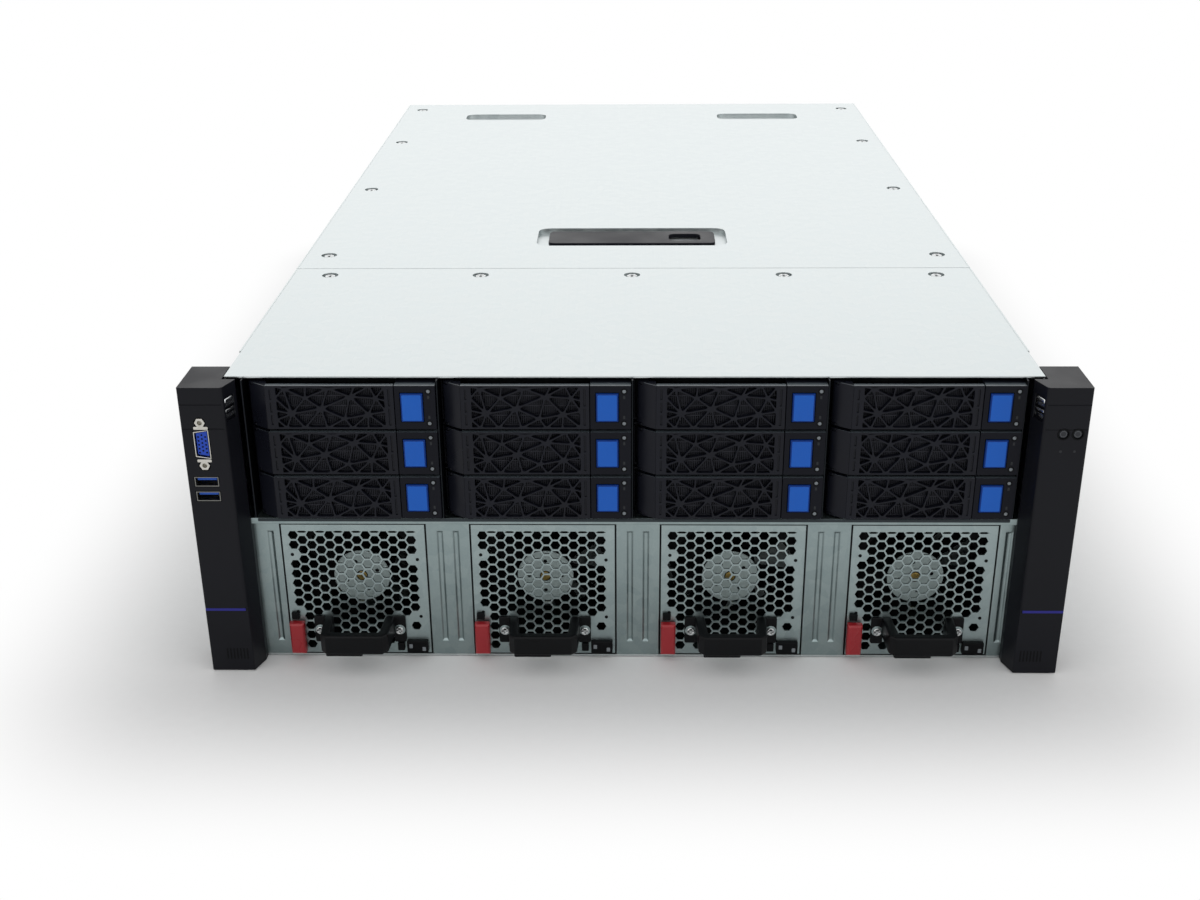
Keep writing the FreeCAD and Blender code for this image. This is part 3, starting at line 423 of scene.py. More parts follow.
def joined(meshes):
    """Several meshes as one, each keeping its own material."""
    work = bmesh.new()
    finishes = []
    for mesh in meshes:
        start = len(work.faces)
        work.from_mesh(mesh)
        work.faces.ensure_lookup_table()
        for face in work.faces[start:]:
            made = mesh.materials[face.material_index] if mesh.materials else None
            if made not in finishes:
                finishes.append(made)
            face.material_index = finishes.index(made)
    out = bpy.data.meshes.new("joined")
    work.to_mesh(out)
    work.free()
    for made in finishes:
        out.materials.append(made)
    return out


pair = joined([dressed(disc(radius, 16, 1.0), made) for radius, made in ((2.0, brass), (1.0, gold))])
print("two joined discs have", len(pair.materials), "finishes")

# %% [markdown]
# ## Shading and riding
# Smooth shading alone makes large flat faces look swollen. Normals weighted by area let a small radius
# shine while the faces beside it stay flat. The finished piece rides a CAD body, and may stand for a
# CAD node.

# %% Shade and ride
SMOOTH_BELOW, FACE_WEIGHT = math.radians(38), 100


def shaded(mesh):
    """Soft radii between flat faces: normals weighted by area, so that a large face stays flat."""
    mesh.polygons.foreach_set("use_smooth", [True] * len(mesh.polygons))
    mesh.set_sharp_from_angle(angle=SMOOTH_BELOW)
    holder = bpy.data.objects.new("shaded", mesh)
    weighted = holder.modifiers.new("weighted", "WEIGHTED_NORMAL")
    weighted.weight = FACE_WEIGHT
    weighted.keep_sharp = True
    return plain_mesh(holder)


def piece(name, mesh, body, replaces=()):
    """A finished piece at the origin, riding its body."""
    mesh = shaded(mesh)
    mesh.name = name
    made = bpy.data.objects.new(name, mesh)
    scene.collection.objects.link(made)
    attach(made, body)
    if replaces:
        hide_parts(*replaces)
    return made


# %% [markdown]
# ## Solids of a CAD node
# A CAD node's mesh is loose triangles, and one node may hold several solids. A merged copy is taken
# apart here, so that each solid can have its own finish and its own radius on the edges. Faces are
# taken by their number, because a set has no fixed order and each run should give the same mesh.

# %% Solids of a CAD node
def solids(node):
    """The separate solids of a CAD node as merged meshes, each with its box in millimetres.

    A face that two touching solids share ends up as a flat group; it is dropped and its hole closed.
    """
    whole = bmesh.new()
    whole.from_mesh(nodes[node].data)
    bmesh.ops.remove_doubles(whole, verts=whole.verts, dist=TINY / 2)
    whole.faces.index_update()
    left = set(whole.faces)
    out = []
    while left:
        group, queue = set(), [min(left, key=lambda f: f.index)]
        while queue:
            face = queue.pop()
            if face in left:
                left.discard(face)
                group.add(face)
                queue.extend(f for e in face.edges if len(e.link_faces) == 2 for f in e.link_faces)
        part = bmesh.new()
        known = {}
        for face in sorted(group, key=lambda f: f.index):
            for v in face.verts:
                if v not in known:
                    known[v] = part.verts.new(v.co)
            part.faces.new([known[v] for v in face.verts])
        gaps = [e for e in part.edges if e.is_boundary]
        if gaps:
            bmesh.ops.holes_fill(part, edges=gaps)
            bmesh.ops.recalc_face_normals(part, faces=part.faces)
        mesh = bpy.data.meshes.new("solid")
        part.to_mesh(mesh)
        part.free()
        spots = [v.co / MM for v in mesh.vertices]
        low = Vector(min(p[k] for p in spots) for k in range(3))
        high = Vector(max(p[k] for p in spots) for k in range(3))
        if min(high - low) > 0.001:
            out.append((mesh, low, high))
    whole.free()
    return out


print("a carrier has", len(solids("drive_tray_11")), "solids")

# %% [markdown]
# ## Softened edges
# A moulded or folded edge is never knife sharp; its small radius catches a line of light. A merged
# copy of a CAD solid gets its flat triangles joined and its sharp edges bevelled. The bevel's corners
# can reach a hair beyond the solid, so every point is held inside the solid's own box. A Bevel
# modifier would do as well; bmesh does it at once and lets the loose corners be cleaned up.

# %% Bevel the sharp edges of a copy
FLAT, SHARP, BEVEL_STEPS = math.radians(1.0), math.radians(32.0), 2


def in_order(items, key):
    """Points or faces in a fixed order; the bevel numbers its new ones differently on each run."""
    rank = {item: i for i, item in enumerate(sorted(items, key=key))}
    items.sort(key=rank.get)


@edited
def softened(work, width):
    """Sharp edges bevelled by a width in millimetres."""
    bmesh.ops.dissolve_limit(work, angle_limit=FLAT, verts=work.verts, edges=work.edges)
    low, high = ([pick(v.co[i] for v in work.verts) for i in range(3)] for pick in (min, max))
    edges = [e for e in work.edges if len(e.link_faces) == 2 and e.calc_face_angle() > SHARP]
    bmesh.ops.bevel(work, geom=edges, offset=width * MM, segments=BEVEL_STEPS, profile=0.5, affect="EDGES",
                    clamp_overlap=False, offset_type="OFFSET")
    for v in work.verts:
        v.co = [min(max(c, a), b) for c, a, b in zip(v.co, low, high)]
    bmesh.ops.dissolve_degenerate(work, dist=TINY, edges=work.edges)
    bmesh.ops.remove_doubles(work, verts=work.verts, dist=TINY)
    bmesh.ops.triangulate(work, faces=[f for f in work.faces if len(f.verts) > 4])
    in_order(work.verts, lambda v: tuple(v.co))
    in_order(work.faces, lambda f: sorted(tuple(v.co) for v in f.verts))


example = solids("power_button")[0][0]
print("a round button has", len(example.polygons), "faces, softened", len(softened(example, 0.1).polygons))

# %% [markdown]
# ## Perforated sheets
# Fan plates and vents are sheets with hundreds of equal holes. A Boolean for each hole would take
# minutes and leave ragged faces, so Geometry Nodes punch them: a ring on every hole centre, one
# rectangle round them, Fill Curve between, and Extrude for the thickness.

# %% A tree that perforates a sheet
def new_tree(name, takes, gives):
    """An empty tree with its named inputs and its output, and the sockets that feed it."""
    tree = bpy.data.node_groups.new(name, "GeometryNodeTree")
    for label, kind in takes:
        tree.interface.new_socket(label, in_out="INPUT", socket_type="NodeSocket" + kind)
    tree.interface.new_socket(gives, in_out="OUTPUT", socket_type="NodeSocketGeometry")
    return tree, add(tree, "NodeGroupInput").outputs


perforate, given = new_tree("perforated_sheet", (
    ("Hole Centres", "Geometry"), ("Sheet Width", "Float"), ("Sheet Height", "Float"),
    ("Thickness", "Float"), ("Hole Sides", "Int"), ("Hole Width", "Float"), ("Hole Height", "Float"),
    ("Finish", "Material")), "Sheet")
hole = add(perforate, "GeometryNodeCurvePrimitiveCircle", {"Resolution": given["Hole Sides"], "Radius": 0.5})
squash = add(perforate, "GeometryNodeInputNamedAttribute", {"Name": "squash"}, data_type="FLOAT")
tall = add(perforate, "ShaderNodeMath", {0: given["Hole Height"], 1: squash.outputs["Attribute"]},
           operation="MULTIPLY")
size = add(perforate, "ShaderNodeCombineXYZ", {"X": given["Hole Width"], "Y": tall.outputs[0], "Z": 1.0})
holes = add(perforate, "GeometryNodeInstanceOnPoints", {
    "Points": given["Hole Centres"], "Instance": hole.outputs["Curve"], "Scale": size.outputs[0]})
real = add(perforate, "GeometryNodeRealizeInstances", {"Geometry": holes.outputs[0]})
edge = add(perforate, "GeometryNodeCurvePrimitiveQuadrilateral",
           {"Width": given["Sheet Width"], "Height": given["Sheet Height"]})
outline = add(perforate, "GeometryNodeJoinGeometry", {0: edge.outputs[0]})
perforate.links.new(real.outputs[0], outline.inputs[0])
filled = add(perforate, "GeometryNodeFillCurve", {"Curve": outline.outputs[0]})
raised = add(perforate, "GeometryNodeExtrudeMesh",
             {"Mesh": filled.outputs[0], "Offset Scale": given["Thickness"], "Individual": False})
under = add(perforate, "GeometryNodeFlipFaces", {"Mesh": filled.outputs[0]})
shell = add(perforate, "GeometryNodeJoinGeometry", {0: raised.outputs["Mesh"]})
perforate.links.new(under.outputs[0], shell.inputs[0])
closed = add(perforate, "GeometryNodeMergeByDistance", {"Geometry": shell.outputs[0], "Distance": TINY})
whole = add(perforate, "GeometryNodeRealizeInstances", {"Geometry": closed.outputs[0]})
coated = add(perforate, "GeometryNodeSetMaterial",
             {"Geometry": whole.outputs[0], "Material": given["Finish"]})
add(perforate, "NodeGroupOutput", {"Sheet": coated.outputs[0]})
print(perforate.name, "has", len(perforate.nodes), "nodes")

# %% [markdown]
# A tree runs as a modifier on a mesh of points. Its inputs are set by the sockets' identifiers before
# the object is first evaluated, and the result becomes a plain mesh, which the export can keep.

# %% Run a tree on points
def grown(tree, points, squash=None, **values):
    """Run a tree on points (millimetres) with its named inputs, and return the plain mesh."""
    mesh = bpy.data.meshes.new("points")
    mesh.from_pydata([Vector((*p, 0.0)[:3]) * MM for p in points], [], [])
    flattened = mesh.attributes.new("squash", "FLOAT", "POINT")
    flattened.data.foreach_set("value", squash or [1.0] * len(points))
    holder = bpy.data.objects.new("points", mesh)
    modifier = holder.modifiers.new("grow", "NODES")
    modifier.node_group = tree
    for socket in tree.interface.items_tree:
        key = socket.name.replace(" ", "_").lower()
        if socket.in_out == "INPUT" and key in values:
            modifier[socket.identifier] = values[key]
    return plain_mesh(holder)


def perforated(centres, width, height, thickness, sides, hole_size, made, squash=None):
    """A perforated sheet from 0 down to -thickness, its middle at the origin."""
    mesh = grown(perforate, centres, squash, sheet_width=width * MM, sheet_height=height * MM,
                 thickness=thickness * MM, hole_sides=sides, hole_width=hole_size[0] * MM,
                 hole_height=hole_size[1] * MM, finish=made)
    return moved(mesh, place=(0, 0, -thickness))


one_hole = perforated([(0, 0)], 4.0, 4.0, 1.0, 6, (2.0, 2.0), galvanised)
print("a sheet with one hexagon has", len(one_hole.polygons), "faces")

# %% [markdown]
# ## Parts on points
# Screws, studs, pins and bars are one small part set on many points. An Array modifier makes even
# rows only. A second tree puts a copy on every point, wherever it is, turned as asked, and realizes it
# so that the export keeps it.

# %% A tree that sets a part on every point
set_out, given = new_tree("part_on_every_point", (
    ("Places", "Geometry"), ("Part", "Object"), ("Turn", "Rotation"), ("Finish", "Material")), "Parts")
source = add(set_out, "GeometryNodeObjectInfo", {"Object": given["Part"], "As Instance": True})
copies = add(set_out, "GeometryNodeInstanceOnPoints", {
    "Points": given["Places"], "Instance": source.outputs["Geometry"], "Rotation": given["Turn"]})
real = add(set_out, "GeometryNodeRealizeInstances", {"Geometry": copies.outputs[0]})
coated = add(set_out, "GeometryNodeSetMaterial",
             {"Geometry": real.outputs[0], "Material": given["Finish"]})
add(set_out, "NodeGroupOutput", {"Parts": coated.outputs[0]})


def row_of(part, places, facing, made):
    """Copies of a part mesh on points (millimetres), its +Z turned to face a side."""
    holder = bpy.data.objects.new("part", part)
    mesh = grown(set_out, places, part=holder, turn=facing.to_euler(), finish=made)
    bpy.data.objects.remove(holder)
    return mesh


def cross_screw(radius, height):
    """Pan-head screw: a rounded head with a cross recess, standing on Z = 0."""
    arm, width = radius * 0.62, radius * 0.17
    recess = [(arm, -width), (arm, width), (width, width), (width, arm), (-width, arm), (-width, width),
              (-arm, width), (-arm, -width), (-width, -width), (-width, -arm), (width, -arm), (width, -width)]
    head = cut_sheet([ring(0, 0, radius, 20), recess], height * 0.65, height * 0.28)
    base = disc(radius * 0.97, 20, height * 0.35, top=height * 0.35)
    return joined([moved(head, place=(0, 0, height)), base])


print("trees", [t.name for t in bpy.data.node_groups])

# %% [markdown]
# ## Web of the carrier levers
# Each disk carrier has a swinging lever: a slanted end on the hinge, then an open web of triangles
# that lets air in. The windows could be outlined one by one. Instead the web is drawn as hubs, and
# Delaunay triangles between them become windows with rounded corners: few numbers, equal bars, and
# the bars widen into stars where they meet.

# %% Web windows
CARRIER_HEIGHT, LEVER_LENGTH, LEVER_DEPTH, SLOPE_END = 25.4, 81.2, 3.2, 12.0
WEB_LEFT, WEB_RIGHT, WEB_RIM, WEB_BAR, WEB_SMALLEST = 17.4, 76.6, 1.35, 0.88, 0.12
WEB_HUBS = [(0.08, 0.95), (0.27, 0.72), (0.485, 0.95), (0.68, 0.76), (0.915, 0.72), (0.14, 0.34),
            (0.41, 0.47), (0.62, 0.22), (0.84, 0.33)]
WEB_EDGE = [(0.0, 0.0), (0.085, 0.0), (0.25, 0.0), (0.455, 0.0), (0.685, 0.0), (0.83, 0.0), (1.0, 0.0),
            (1.0, 0.4), (1.0, 0.66), (1.0, 1.0), (0.86, 1.0), (0.73, 1.0), (0.285, 1.0), (0.0, 1.0),
            (0.0, 0.72), (0.0, 0.42), (0.0, 0.2)]


def web_windows(x0, x1, z0, z1):
    """The windows between the hubs: each triangle drawn in by half a bar, its corners rounded."""
    spots = [Vector((x0 + u * (x1 - x0), z0 + v * (z1 - z0))) for u, v in WEB_HUBS + WEB_EDGE]
    _, _, faces, *_ = geometry.delaunay_2d_cdt(spots, [], [], 0, 1e-6)
    windows = []
    for face in faces:
        a, b, c = (spots[i] for i in face)
        sides = [(b - c).length, (c - a).length, (a - b).length]
        around = sum(sides)
        area = abs((b - a).cross(c - a)) / 2
        inner = 2 * area / around
        shrink = 1 - WEB_BAR / 2 / inner
        if shrink > WEB_SMALLEST:
            middle = (a * sides[0] + b * sides[1] + c * sides[2]) / around
            corners = [tuple(middle + (p - middle) * shrink) for p in (a, b, c)]
            windows.append(rounded(corners, 0.3 * inner, 2))
    return windows


web_holes = web_windows(WEB_LEFT, WEB_RIGHT, WEB_RIM / 2, CARRIER_HEIGHT - WEB_RIM / 2)
print("lever web:", len(web_holes), "windows")

# %% [markdown]
# ## Twelve carriers from one
# The carriers are alike, so each of their pieces is made once, with its corner at the origin, and a
# copy is put on every carrier. The moulding's top face falls a little towards the front, and its tool
# leaves that land smooth. Both are done on the mesh, so that the edge catches the light. The land is
# also painted a lighter grey than the lever: a painted highlight along the top edge.

# %% Helpers for carriers
CARRIERS = [(r, c) for r in (1, 2, 3) for c in (1, 2, 3, 4)]
CARRIER_FACE, TOP_DRAFT = 11.0, 0.12


def carrier_corner(row, column):
    """Lower left front corner of a carrier, in millimetres."""
    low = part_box(f"drive_tray_{row}{column}")[0] / MM
    return Vector((low.x, EAR_FRONT + CARRIER_FACE, low.z))


def at_origin(mesh):
    """A mesh of the first carrier, with the carrier's corner moved to the origin."""
    return moved(mesh, place=-carrier_corner(1, 1))


def on_carriers(name, pattern, node, replaces=True):
    """A copy of a pattern on every carrier, riding the carrier's own tray, lever or button."""
    for row, column in CARRIERS:
        body = f"{node}_{row}{column}"
        mesh = moved(pattern.copy(), place=carrier_corner(row, column))
        piece(f"{name}_{row}{column}", mesh, body, [body] if replaces else ())


def sloped_top(mesh):
    """Let the top face fall towards the front, as the moulding's draft does; it then catches the light."""
    for v in mesh.vertices:
        if v.co.z > (CARRIER_HEIGHT - 0.5) * MM and v.co.y < LEVER_DEPTH * MM:
            v.co.z -= TOP_DRAFT * MM * (1.0 - max(v.co.y / (LEVER_DEPTH * MM), 0.0))
    return mesh


def paint_land_highlight(mesh, reach=LEVER_DEPTH):
    """The top land is smooth and glossy at a low angle, and painted lighter as a painted highlight."""
    mesh.materials.append(land_highlight_paint)
    for face in mesh.polygons:
        on_top = face.normal.z > 0.6 and face.center.z > (CARRIER_HEIGHT - 0.6) * MM
        if on_top and face.center.y < reach * MM:
            face.material_index = len(mesh.materials) - 1
    return mesh


@edited
def split(work, place, facing, keep_all=True):
    """Cut a mesh by a plane; without keep_all the far side goes and the cut is capped."""
    everything = [*work.verts, *work.edges, *work.faces]
    bmesh.ops.bisect_plane(work, geom=everything, plane_co=Vector(place) * MM, plane_no=facing,
                           clear_outer=not keep_all)
    if not keep_all:
        bmesh.ops.holes_fill(work, edges=[e for e in work.edges if e.is_boundary])


print("carriers:", len(CARRIERS), "- the first corner is at", [round(v, 2) for v in carrier_corner(1, 1)])

# %% [markdown]
# ## Carrier levers
# The slanted end is the CAD solid, cut a hair before the web begins. The web is a sheet with its
# windows and with narrow slots on both sides; the slots have floors, a hair smaller than themselves.

# %% Lever with its web
SLOT_DEEP, SLOT_ROUND, HAIR, LEVER_RIM = 0.7, 0.35, 0.03, 0.22
SLOT_BOXES = [(14.3, 15.3, z, z + 5.8) for z in (2.4, 9.8, 17.2)]
SLOT_BOXES += [(78.1, 79.2, 2.2, 12.1), (78.1, 79.2, 13.4, 23.2)]


def lever_slots(inset=0.0):
    """The outlines of the narrow slots, or with an inset, of the floors that fill them."""
    return [rounded(rectangle(x0 + inset, x1 - inset, z0 + inset, z1 - inset), SLOT_ROUND)
            for x0, x1, z0, z1 in SLOT_BOXES]


hinge_end = split(at_origin(solids("tray_lever_11")[0][0]), (SLOPE_END - 0.02, 0, 0), (1, 0, 0), False)
grille_edge = rounded(rectangle(SLOPE_END, LEVER_LENGTH, 0.0, CARRIER_HEIGHT), 0.35)
grille = cut_sheet([grille_edge] + web_holes + lever_slots(), LEVER_DEPTH, LEVER_RIM, 1)
slot_floors = cut_sheet(lever_slots(HAIR), LEVER_DEPTH - SLOT_DEEP - HAIR)
moved(grille, FACING_FRONT)
moved(slot_floors, FACING_FRONT, (0, SLOT_DEEP, 0))
lever_pattern = sloped_top(joined([softened(hinge_end, 0.3), grille, slot_floors]))
# The lever's top land takes the lighter grey: a painted highlight.
lever_pattern = paint_land_highlight(dressed(lever_pattern, abs_lever))
on_carriers("web_lever", lever_pattern, "tray_lever")
print("lever:", len(lever_pattern.polygons), "faces each")

# %% [markdown]
# ## Filter gauze
# Behind the web a dark gauze stops dust: fine upright wires on a few cross wires. A see-through
# texture would look flat from the side, so the wires are bars, set out in rows by the tree. Real ones
# are closer than the picture can show, so they are drawn 1 mm apart.

# %% Gauze behind each web
GAUZE_STEP, GAUZE_WIRE, GAUZE_DEEP, GAUZE_ROUND = 1.0, 0.55, 0.5, 0.2
GAUZE_BACK = LEVER_DEPTH + 0.9
CROSS_Z = (1.2, 7.0, 12.7, 18.4, 24.2)
upright_wire = tile((-GAUZE_WIRE / 2, GAUZE_WIRE / 2, 1.0, CARRIER_HEIGHT - 1.0), GAUZE_ROUND, GAUZE_DEEP)
cross_wire = tile((WEB_LEFT - 1.4, WEB_RIGHT + 1.4, -0.3, 0.3), GAUZE_ROUND, GAUZE_DEEP)
count = int((WEB_RIGHT - WEB_LEFT) / GAUZE_STEP) + 1
upright_spots = [(WEB_LEFT + i * GAUZE_STEP, GAUZE_BACK - 0.5, 0) for i in range(count)]
cross_spots = [(0, GAUZE_BACK - 0.8, z) for z in CROSS_Z]
gauze = joined([row_of(upright_wire, upright_spots, FACING_FRONT, gauze_wire),
                row_of(cross_wire, cross_spots, FACING_FRONT, gauze_wire)])
on_carriers("dust_gauze", gauze, "tray_lever", replaces=False)
print("gauze:", count, "upright wires,", len(CROSS_Z), "cross wires")

# %% [markdown]
# ## Carrier bodies
# The carrier itself is a frame with two rails, a bezel block that holds the blue button, and the
# disk. The frame is a softened copy of the CAD solid. The disk's casting is coated black under a
# bright lid, so its faces take one of two finishes by their height.

# %% Carrier frame and disk
CARRIER_WIDTH, LID_STEP, BLOCK_LAND = 103.6, 3.0, 4.2
body_parts = []
for mesh, low, high in solids("drive_tray_11"):
    wide, tall = high.x - low.x, high.z - low.z
    if wide > CARRIER_WIDTH - 1:
        body_parts.append(dressed(softened(mesh, 0.3), abs_black))
    elif wide > 90:
        disk = dressed(softened(mesh, 0.4), disk_metal)
        disk.materials.append(disk_coat)
        for face in disk.polygons:
            face.material_index = 0 if face.center.z / MM > high.z - LID_STEP - 0.6 else 1
        body_parts.append(disk)
    elif tall > 20:
        body_parts.append(dressed(mesh, zinc_screw))
carrier_body = split(at_origin(joined(body_parts)), (0, BLOCK_LAND, 0), (0, 1, 0))
# The block's top land takes the lighter grey too: a painted highlight.
carrier_body = paint_land_highlight(sloped_top(carrier_body), BLOCK_LAND)
print("carrier: frame, disk and hinge pin with", len(carrier_body.polygons), "faces")

# %% [markdown]
# Light from two board lamps comes out through small milky pipes at the right, each in a collar with a
# smoked mark beside it. A vented bar bridges the slot behind the lever and keeps light off the disk.
# The disk's lid is pressed up round the platters and held by six screws.

# %% Light pipes, light shield and disk lid
PIPE_X, PIPE_LOW, PIPE_HIGH = 99.9, 3.4, 22.0
PLATTER_X, PLATTER_Y, PLATTER, LID_RELIEF, LID_SUNK = 51.8, 72.0, 41.0, 0.35, 0.02
LID_CORNERS = [(90.0, 148.0), (86.0, 152.0), (17.6, 152.0), (13.6, 148.0)]
SHIELD, SHIELD_TOP, SHIELD_SHEET = (14.5, 81.4, 4.7, 13.0), 22.4, 1.2
pipe = disc(1.0, 16, 1.0, 0.3, top=0.3)
collar = disc(1.75, 20, 0.5, 0.1, 1, 0.15, bore=1.2)
mark = moved(tile((-0.55, 0.55, -0.9, 0.9), 0.25, 0.3), place=(0, 0, 0.08))
pipe_spots = [(PIPE_X, 0, PIPE_LOW), (PIPE_X, 0, PIPE_HIGH)]
mark_spots = [(PIPE_X, 0, PIPE_LOW + 3.6), (PIPE_X, 0, PIPE_HIGH - 3.4)]
face_parts = [row_of(part, spots, FACING_FRONT, made) for part, spots, made in (
    (pipe, pipe_spots, lens), (collar, pipe_spots, abs_dark), (mark, mark_spots, dim_lens))]
shield_vents = [rounded(rectangle(x - 0.6, x + 0.6, 7.6, 11.4), 0.5) for x in range(20, 78, 4)]
shield = cut_sheet([rounded(rectangle(*SHIELD), 0.6)] + shield_vents, SHIELD_SHEET, 0.2, 1)
moved(shield, place=(0, 0, SHIELD_TOP))
around = [math.radians(a) for a in range(170, 371, 10)]
contour = [(PLATTER_X + PLATTER * math.cos(a), PLATTER_Y + PLATTER * math.sin(a)) for a in around]
lid_relief = cut_sheet([contour + LID_CORNERS], LID_RELIEF, 0.15, 1)
moved(lid_relief, place=(0, 0, CARRIER_HEIGHT + LID_RELIEF - LID_SUNK))
lid_spots = [(x, y, CARRIER_HEIGHT - LID_SUNK) for x in (9.2, 94.4) for y in (29.0, 76.0, 146.0)]
lid_screws = row_of(cross_screw(2.1, 0.5), lid_spots, FACING_UP, zinc_screw)
tray_pattern = joined([carrier_body, *face_parts, dressed(shield, abs_black), dressed(lid_relief, disk_metal),
                       lid_screws])
on_carriers("carrier", tray_pattern, "drive_tray")
print("carrier:", len(tray_pattern.polygons), "faces each")

# %% [markdown]
# ## Release buttons
# The blue pad is pressed to free the lever. Its face has a raised middle; the rim round it is painted
# darker blue, as painted shade of the step.
# One mesh with two inset faces would do; a softened copy of the CAD solid with a separate pad on it
# gives each its own radius.

# %% Blue release buttons
BUTTON_X, BUTTON_WIDE, BUTTON_TALL, BUTTON_RIM, PAD_DEEP, PAD_FRONT = 90.8, 12.0, 16.4, 0.75, 0.8, -0.95
# The button's body round the pad is painted darker blue: painted shade.
button_base = dressed(softened(at_origin(solids("tray_button_11")[0][0]), 0.25), blue_rim_painted_shade)
half_wide, half_tall, mid = BUTTON_WIDE / 2 - BUTTON_RIM, BUTTON_TALL / 2 - BUTTON_RIM, CARRIER_HEIGHT / 2
pad_box = (BUTTON_X - half_wide, BUTTON_X + half_wide, mid - half_tall, mid + half_tall)
pad = tile(pad_box, 0.7, PAD_DEEP, 0.25)
moved(pad, FACING_FRONT, (0, PAD_FRONT, 0))
button_pattern = joined([button_base, dressed(pad, blue_button)])
on_carriers("release_button", button_pattern, "tray_button")
print("release button:", len(button_pattern.polygons), "faces each")

# %% [markdown]
# ## Fan modules
# Each fan slides out as a module: a folded tray of galvanised sheet whose front is punched with
# hexagons, a black fan frame behind, a handle on two screws, a latch guard and a small status block.
# The plate is punched by the tree above, with fourteen columns of holes and plain spots for rivets.
# A thin dark frame runs around its edge: painted shadow, the dark line of the gap between fan and cage.

# %% Fan plates
FANS = (1, 2, 3, 4)
FAN_FACE, FAN_WIDE, FAN_TALL, FAN_SHEET, FAN_CASE = 17.0, 82.0, 85.5, 1.0, 30.0
FAN_MID, FOOT_OUT = FAN_WIDE / 2, 23.0
SHADOW_FRAME, SHADOW_FRAME_TOP, SHADOW_FRAME_DEEP = 0.6, 1.4, 0.8
PLATE_MID, PLATE_TALL = (SHADOW_FRAME + FAN_TALL - SHADOW_FRAME_TOP) / 2, FAN_TALL - SHADOW_FRAME_TOP - SHADOW_FRAME
HEX_COLUMNS, HEX_ROWS, HEX_FIRST, HEX_STEP, HEX_ROW, HEX_TOP = 14, 13, 6.9, 5.13, 6.2, 8.0
HEX_SIZE, SHORT_TOP, SHORT_SQUASH = (5.9, 5.9), 5.9, 0.25
RIVET_SPOTS = {(0, 2), (13, 3), (0, 8), (13, 9)}


def fan_home(n):
    """Lower left front corner of a fan module, in millimetres."""
    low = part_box(f"fan_module_{n}")[0] / MM
    return Vector((low.x, EAR_FRONT + FAN_FACE, low.z))


def hex_height(column, row):
    """Height of a hole's centre; every second column is half a row higher."""
    return FAN_TALL - HEX_TOP - (row - 0.5 * (column % 2)) * HEX_ROW


def hex_centres():
    """Hole centres from the plate's lower left corner, clear of the latch, the feet and the block."""
    out = []
    for i in range(HEX_COLUMNS):
        for k in range(HEX_ROWS):
            x, z = HEX_FIRST + i * HEX_STEP, hex_height(i, k)
            at_latch = x < 11.5 and z < 29.0
            at_block = x > 60.0 and z < 15.0
            at_foot = abs(abs(x - FAN_MID) - FOOT_OUT) < 4.7 and 7.0 < z < 27.0
            inside = 4.6 < z < FAN_TALL - 6.0
            if inside and not (at_latch or at_block or at_foot) and (i, k) not in RIVET_SPOTS:
                out.append((x, z))
    return out


centres = hex_centres()
cut_short = [(HEX_FIRST + i * HEX_STEP, FAN_TALL - SHORT_TOP) for i in range(1, HEX_COLUMNS, 2)]
plate = perforated([(x - FAN_MID, z - PLATE_MID) for x, z in centres + cut_short],
                   FAN_WIDE - 2 * SHADOW_FRAME, PLATE_TALL, FAN_SHEET, 6, HEX_SIZE, fan_metal,
                   [1.0] * len(centres) + [SHORT_SQUASH] * len(cut_short))
moved(plate, FACING_FRONT, (FAN_MID, 0, PLATE_MID))
# The dark frame round the plate is painted shadow of the gap between fan and cage.
shadow_frame = cut_sheet([rectangle(0, FAN_WIDE, 0, FAN_TALL),
                    rectangle(SHADOW_FRAME, FAN_WIDE - SHADOW_FRAME, SHADOW_FRAME, FAN_TALL - SHADOW_FRAME_TOP)], SHADOW_FRAME_DEEP)
moved(shadow_frame, FACING_FRONT, (0, FAN_SHEET - SHADOW_FRAME_DEEP, 0))
print("fan plate:", len(centres), "holes,", len(plate.polygons), "faces")

# %% [markdown]
# The rest of a module: the tray's folded sides, and the handle on two screws. The handle is one bent
# bar seen from above, so its outline is drawn in plan and made as tall as a grip.

# %% Fan tray and handle
GRIP_HALF, ROOT_HALF, GRIP_BAR, GRIP_REACH, GRIP_BEND = 19.2, 20.5, 5.5, 24.0, 3.3
GRIP_LOW, GRIP_TALL = 13.4, 12.1
FOOT_X, FOOT_Z, FOOT_DEEP, WASHER = (FAN_MID - FOOT_OUT, FAN_MID + FOOT_OUT), 17.0, 1.6, 0.4
tray_wall = cut_sheet([rectangle(0, FAN_WIDE, 0, FAN_TALL),
                       rectangle(FAN_SHEET, FAN_WIDE - FAN_SHEET, FAN_SHEET, FAN_TALL - FAN_SHEET)],
                      FAN_CASE - FAN_SHEET)
moved(tray_wall, FACING_FRONT, (0, FAN_SHEET, 0))
outer = [(-ROOT_HALF, 0), (-GRIP_HALF, GRIP_BEND - GRIP_REACH), (GRIP_BEND - GRIP_HALF, -GRIP_REACH),
         (GRIP_HALF - GRIP_BEND, -GRIP_REACH), (GRIP_HALF, GRIP_BEND - GRIP_REACH), (ROOT_HALF, 0)]
inner = [(ROOT_HALF - GRIP_BAR, 0), (GRIP_HALF - GRIP_BAR, GRIP_BAR - GRIP_REACH),
         (GRIP_BAR - GRIP_HALF, GRIP_BAR - GRIP_REACH), (GRIP_BAR - ROOT_HALF, 0)]
bail = cut_sheet([[(FAN_MID + x, y) for x, y in rounded(outer + inner, 1.6)]], GRIP_TALL, 1.3, 3)
moved(bail, place=(0, 0, GRIP_LOW + GRIP_TALL))
lip = tile((FAN_MID - 16.5, FAN_MID + 4.5, -GRIP_REACH + 0.8, -GRIP_REACH + 5.0), 1.0, 2.4, 0.6)
moved(lip, place=(0, 0, GRIP_LOW + 0.9))
